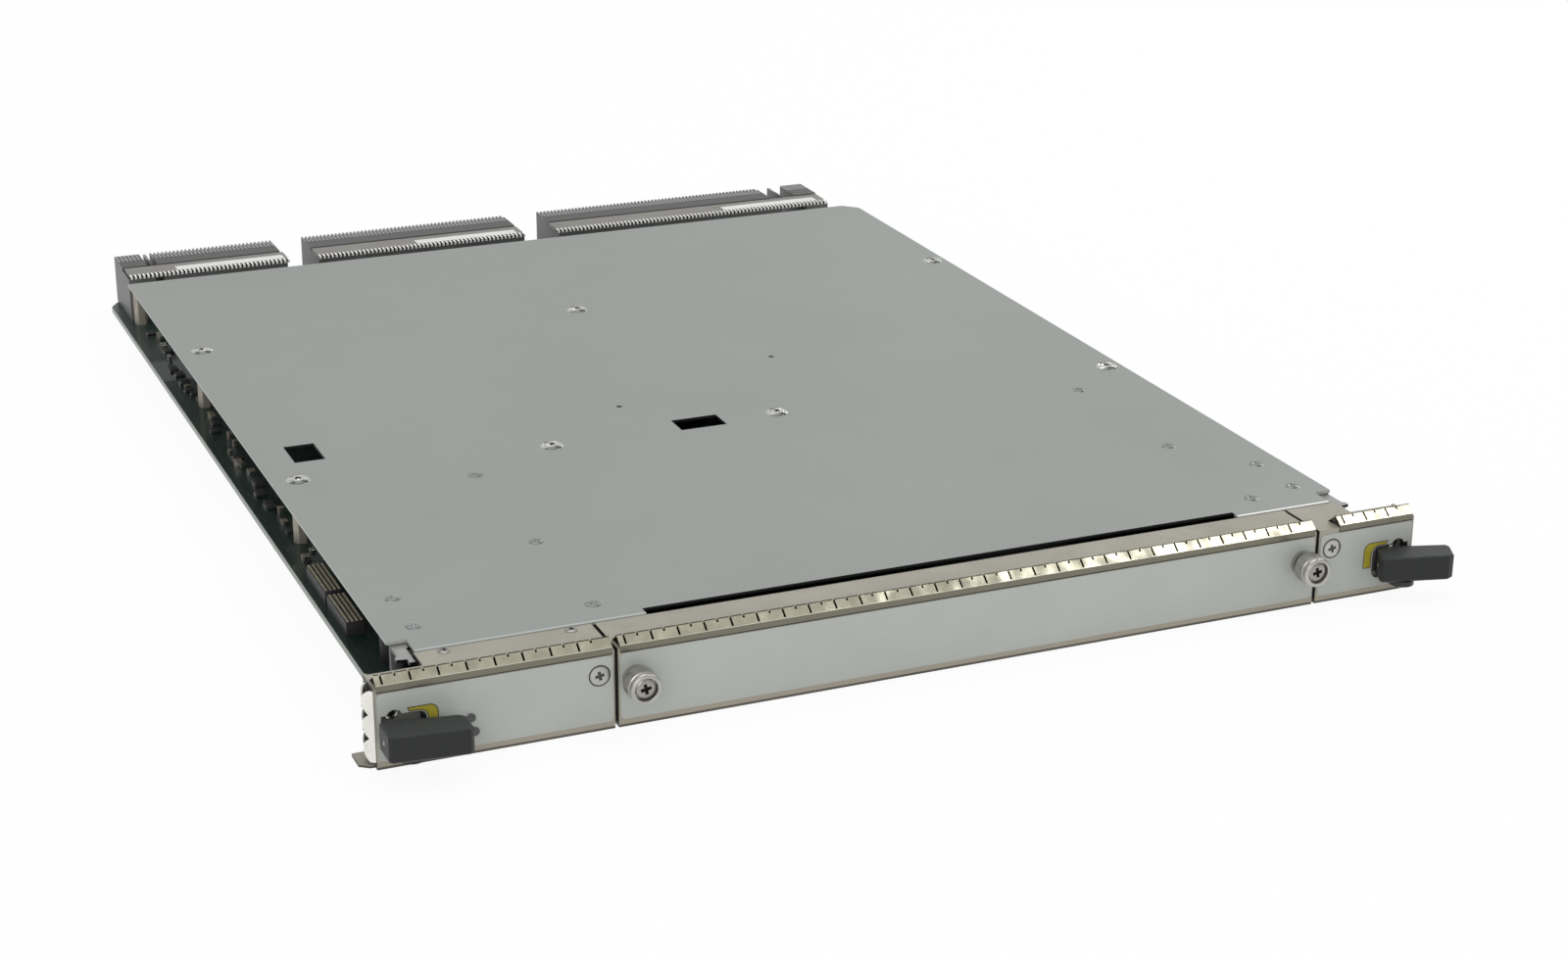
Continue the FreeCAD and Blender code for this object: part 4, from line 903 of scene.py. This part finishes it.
def sticker(inset):
    """The band at the left end, narrowed all round by an inset."""
    outer, inner = BAND_OUTER - inset, BAND_INNER + inset
    top, under, foot = BAND_TOP - inset, BAND_UNDER + inset, BAND_FOOT + inset
    big, small = OUTER_ARC - inset, INNER_ARC + inset
    points = [(END_TOP + END_TOP_SHIFT * inset, top), (END_UNDER + END_UNDER_SHIFT * inset, under)]
    points += rounded((inner - small, under - small), small, start=90, end=0)
    points += [(inner, foot), (outer, foot)]
    points += rounded((outer - big, top - big), big, start=0, end=90)
    return points


for side, flip in (("left", 1), ("right", -1)):
    for name, inset, low, high, finish in (
        ("outline", 0.0, 0.0, FILM, extras["dark_film"]),
        ("yellow", STICKER_EDGE, FILM, 2 * FILM, extras["yellow_film"]),
    ):
        form = prism([(flip * x, z) for x, z in sticker(inset)], low, high)
        piece(f"{side}_sticker_{name}", copies(form, [TO_FRONT]), finish, "board")


# Blank labels on the connector caps

LABELS = {"left": (0.30, 0.98), "centre": (0.48, 0.97), "right": (0.62, 0.97)}    # shares of the cap's width
LABEL_FRONT = 4.0 * MM
LABEL_BACK = 10.3 * MM
LABEL_THICK = 0.08 * MM
LABEL_BEVEL = 0.03 * MM
labels = []
for side, (start, end) in LABELS.items():
    low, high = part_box(side + "_connector_cap")
    wide = high[0] - low[0]
    labels.append(between((low[0] + start * wide, low[1] + LABEL_FRONT, high[2]),
                          (low[0] + end * wide, low[1] + LABEL_BACK, high[2] + LABEL_THICK), LABEL_BEVEL))
piece("cap_labels", merged(labels), extras["white_label"], "board")


# Fins between the guide blocks and the wafers

FIN_HALF = 0.6 * MM
FIN_FRONT = 19.0 * MM
FIN_DROP = 0.4 * MM
board_low, board_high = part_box("main_board")
board_top = board_high[2]
fins = []
for side in ("left", "right"):
    low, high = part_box(side + "_guide_block")
    row_low, row_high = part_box(side + "_connector")
    gap = (high[0], row_low[0]) if side == "left" else (row_high[0], low[0])
    middle = sum(gap) / 2
    fins.append(between((middle - FIN_HALF, low[1] + FIN_FRONT, board_top),
                        (middle + FIN_HALF, high[1], high[2] - FIN_DROP)))
piece("connector_fins", merged(fins), finishes["wafer_plastic"], "board")


# The pin header at the board's left edge, in two halves on one base

PIN = 0.8 * MM
PIN_PITCH = 2.0 * MM
PIN_OUT = 0.6 * MM
PIN_ROWS = 4
PIN_BEVEL = 0.12 * MM
HALF_GAP = 1.5 * MM
BASE_INSET = 1.0 * MM
BASE_THICK = 1.2 * MM
low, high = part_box("edge_header")
body_top = high[2] - PIN_OUT
halfway = (low[1] + high[1]) / 2
header = [
    between(low, (high[0], halfway - HALF_GAP, body_top)),
    between((low[0], halfway + HALF_GAP, low[2]), (high[0], high[1], body_top)),
    between((low[0] + BASE_INSET, low[1] + BASE_INSET, low[2]),
            (high[0] - BASE_INSET, high[1] - BASE_INSET, low[2] + BASE_THICK)),
]
for k in range(int((high[1] - low[1]) / PIN_PITCH)):
    y = low[1] + PIN_PITCH * (k + 0.5)
    if abs(y - halfway) < HALF_GAP + PIN:
        continue
    for i in range(PIN_ROWS):
        x = low[0] + (high[0] - low[0]) * (i + 0.5) / PIN_ROWS
        header.append(block((PIN, PIN, PIN_OUT), (x, y, body_top), PIN_BEVEL, index=1))
made = piece("edge_header_pins", merged(header), [finishes["chip_plastic"], extras["pin_metal"]], "board")
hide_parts("edge_header")


# Small parts along the board's left and right edges, which show below the lid

LEAD_PITCH = 1.27 * MM
LEAD_LONG = 1.0 * MM
LEAD_WIDE = 0.4 * MM
LEAD_HIGH = 0.5             # a share of the chip's height
CHIP_RAISED = 0.15 * MM
CHIP_BEVEL = 0.2 * MM
END_BEVEL = 0.1 * MM
CAP_WIDER = 0.1 * MM        # a ceramic's tinned caps stand out by a little
CAP_HIGHER = 0.06 * MM
CAP_DEEP = 0.25             # a share of the ceramic's depth
CAP_PLACE = 0.42            # the same, from its middle
ROW_START = 172.0 * MM
ROW_END = 505.0 * MM
POST_CLEAR = 9.0 * MM
CHIP_SHARE = 0.4
CHIP_WIDE = 4.0 * MM
# Ranges of the random sizes, in millimetres
INWARD = (6.5, 12.0)
PART_DEEP = (2.5, 7.5)
PART_GAP = (1.5, 9.0)
CHIP_HIGH = (1.2, 2.4)
CERAMIC_WIDE = (1.6, 3.2)
CERAMIC_HIGH = (1.2, 3.6)


def chip(size, foot):
    """A packaged chip with a row of leads along two sides."""
    x, y, z = foot
    forms = [block(size, (x, y, z + CHIP_RAISED), CHIP_BEVEL)]
    count = int(size[1] / LEAD_PITCH)
    for k in range(count):
        place = y + (k - (count - 1) / 2) * LEAD_PITCH
        for way in (-1, 1):
            lead = (LEAD_LONG, LEAD_WIDE, LEAD_HIGH * size[2])
            forms.append(block(lead, (x + way * size[0] / 2, place, z), END_BEVEL, index=1))
    return forms


def ceramic(size, foot):
    """A tan block with a tinned cap at each end."""
    x, y, z = foot
    forms = [block(size, foot, index=2)]
    for way in (-1, 1):
        end = (size[0] + CAP_WIDER, CAP_DEEP * size[1], size[2] + CAP_HIGHER)
        forms.append(block(end, (x, y + way * CAP_PLACE * size[1], z), END_BEVEL, index=1))
    return forms


def drawn(span):
    """A random size within a range."""
    return random.uniform(*span) * MM


small_parts = []
posts = centres("cover_standoffs")
for edge, way in ((board_low[0], 1), (board_high[0], -1)):
    y = ROW_START
    while y < ROW_END:
        x = edge + way * drawn(INWARD)
        deep = drawn(PART_DEEP)
        if all(math.hypot(x - post.x, y - post.y) > POST_CLEAR for post in posts):
            foot = (x, y, board_top)
            if random.random() < CHIP_SHARE:
                small_parts += chip((CHIP_WIDE, deep, drawn(CHIP_HIGH)), foot)
            else:
                small_parts += ceramic((drawn(CERAMIC_WIDE), deep, drawn(CERAMIC_HIGH)), foot)
        y += deep + drawn(PART_GAP)
piece("edge_parts", merged(small_parts),
      [finishes["chip_plastic"], finishes["bright_steel"], extras["tan_ceramic"]], "board")


# A bright cross pin in each lever's nose

OPEN_ANGLE = math.radians(156)
CROSS_PIN_RADIUS = 0.9 * MM
CROSS_PIN_LONG = 2.0 * MM
CROSS_PIN_END = ((0.7 * MM, 0.15 * MM), (0.2 * MM, 0.2 * MM))
NOSES = {"left": Vector((-1, 0, 0)), "right": Matrix.Rotation(OPEN_ANGLE, 3, "Z") @ Vector((1, 0, 0))}
pin_low, pin_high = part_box("left_pivot_pin")
reach = (pin_low[0] + pin_high[0]) / 2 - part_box("left_lever")[0][0]
for side, nose in NOSES.items():
    low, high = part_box(side + "_pivot_pin")
    lever_low, lever_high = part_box(side + "_lever")
    pivot = ((low[0] + high[0]) / 2, (low[1] + high[1]) / 2, (lever_low[2] + lever_high[2]) / 2)
    turn = nose.to_track_quat("Z", "Y").to_matrix().to_4x4()
    points = [(CROSS_PIN_RADIUS, reach - CROSS_PIN_LONG), (CROSS_PIN_RADIUS, reach)]
    points += [(r, reach + out) for r, out in CROSS_PIN_END]
    pin = lathe(points, segments=24)
    piece(side + "_lever_cross_pin", copies(pin, [Matrix.Translation(pivot) @ turn]), extras["driver_steel"],
          side + "_lever")


# Camera at the photograph's place, with its lens and slight roll

PHOTO_WIDE = 1600
PHOTO_FOCUS = 2916.95
SENSOR_WIDE = 36.0
CAMERA_PLACE = (-0.42912, -0.86072, 0.44330)
CAMERA_NEAR = 0.01
AZIMUTH = math.radians(-23.249)
ELEVATION = math.radians(20.95)
ROLL = math.radians(0.32)
away = Vector((math.sin(AZIMUTH) * math.cos(ELEVATION), -math.cos(AZIMUTH) * math.cos(ELEVATION),
               math.sin(ELEVATION)))
level = Vector((0, 0, 1)).cross(away).normalized()
upright = away.cross(level)
across = math.cos(ROLL) * level + math.sin(ROLL) * upright
upward = math.cos(ROLL) * upright - math.sin(ROLL) * level
lens = bpy.data.cameras.new("camera")
lens.sensor_width = SENSOR_WIDE
lens.lens = SENSOR_WIDE * PHOTO_FOCUS / PHOTO_WIDE
lens.clip_start = CAMERA_NEAR
camera = bpy.data.objects.new("camera", lens)
aimed = Matrix((across, upward, away)).transposed().to_4x4()
camera.matrix_world = Matrix.Translation(CAMERA_PLACE) @ aimed
bpy.context.scene.collection.objects.link(camera)
bpy.context.scene.camera = camera


# White floor and world

FLOOR_SPAN = 6.0
FLOOR_WHITE = (0.97, 0.97, 0.97)
FLOOR_GLOW = 0.92
WORLD_LIGHT = 0.62
WORLD_SHOWN = 1.0
WHITE = (1, 1, 1)


def seen_by(tree, first, second):
    """1 for two kinds of ray and 0 for the others."""
    path = add(tree, "LightPath")
    return combined(tree, "MAXIMUM", path.outputs[first], path.outputs[second])


def staged(strength):
    """Matt white, which shows the camera and reflections a white glow of a given share."""
    made = bpy.data.materials.new("sweep")
    made.use_nodes = True
    tree = made.node_tree
    tree.nodes.remove(tree.nodes["Principled BSDF"])
    output = tree.nodes["Material Output"]
    matt = add(tree, "BsdfDiffuse", {"Color": rgba(FLOOR_WHITE)})
    glow = add(tree, "Emission", {"Color": rgba(WHITE), "Strength": 1.0})
    share = add(tree, "Math", {1: strength}, operation="MULTIPLY")
    link(tree, seen_by(tree, "Is Camera Ray", "Is Glossy Ray"), share.inputs[0])
    mixed = add(tree, "MixShader")
    link(tree, share.outputs["Value"], mixed.inputs["Fac"])
    link(tree, matt.outputs["BSDF"], mixed.inputs[1])
    link(tree, glow.outputs["Emission"], mixed.inputs[2])
    link(tree, mixed.outputs["Shader"], output.inputs["Surface"])
    return made


floor_mesh = bpy.data.meshes.new("floor")
corners = [(x * FLOOR_SPAN, y * FLOOR_SPAN, 0) for x, y in ((-1, -1), (1, -1), (1, 1), (-1, 1))]
floor_mesh.from_pydata(corners, [], [range(len(corners))])
floor_mesh.materials.append(staged(FLOOR_GLOW))
floor = bpy.data.objects.new("floor", floor_mesh)
bpy.context.scene.collection.objects.link(floor)

world = bpy.data.worlds.new("studio")
world.use_nodes = True
tree = world.node_tree
sky = tree.nodes["Background"]
sky.inputs["Color"].default_value = rgba(WHITE)
shown = seen_by(tree, "Is Camera Ray", "Is Transmission Ray")
link(tree, spread(tree, shown, low=WORLD_LIGHT, high=WORLD_SHOWN, start=0.0, end=1.0), sky.inputs["Strength"])
bpy.context.scene.world = world


# Soft light, with places and sizes in metres and power in watts

LAMPS = {
    "overhead": dict(place=(0.0, 0.6, 1.9), wide=1.3, high=1.3, power=8.7),
    "front_right": dict(place=(1.45, -0.27, 2.05), wide=0.5, high=0.5, power=4.6),
    "glint_left": dict(place=(0.26, 1.94, 1.1), wide=0.09, high=0.09, power=0.3),
    "glint_right": dict(place=(0.96, 1.94, 0.6), wide=0.09, high=0.09, power=0.3),
    "front_left": dict(place=(-1.0, -1.9, 0.9), wide=1.6, high=1.0, power=13.0),
    "window": dict(place=(1.9, 1.2, 1.0), wide=0.9, high=0.7, power=7.0),
}
middle = (Vector(cad_box[0]) + Vector(cad_box[1])) / 2


def softbox(name, place, wide, high, power):
    """A rectangular lamp that looks at the middle of the part."""
    data = bpy.data.lights.new(name, "AREA")
    data.shape = "RECTANGLE"
    data.size = wide
    data.size_y = high
    data.energy = power
    lamp = bpy.data.objects.new(name, data)
    lamp.location = place
    lamp.rotation_euler = (middle - Vector(place)).to_track_quat("-Z", "Y").to_euler()
    bpy.context.scene.collection.objects.link(lamp)


for name, settings in LAMPS.items():
    softbox(name, **settings)

bpy.context.scene.view_settings.view_transform = "Standard"
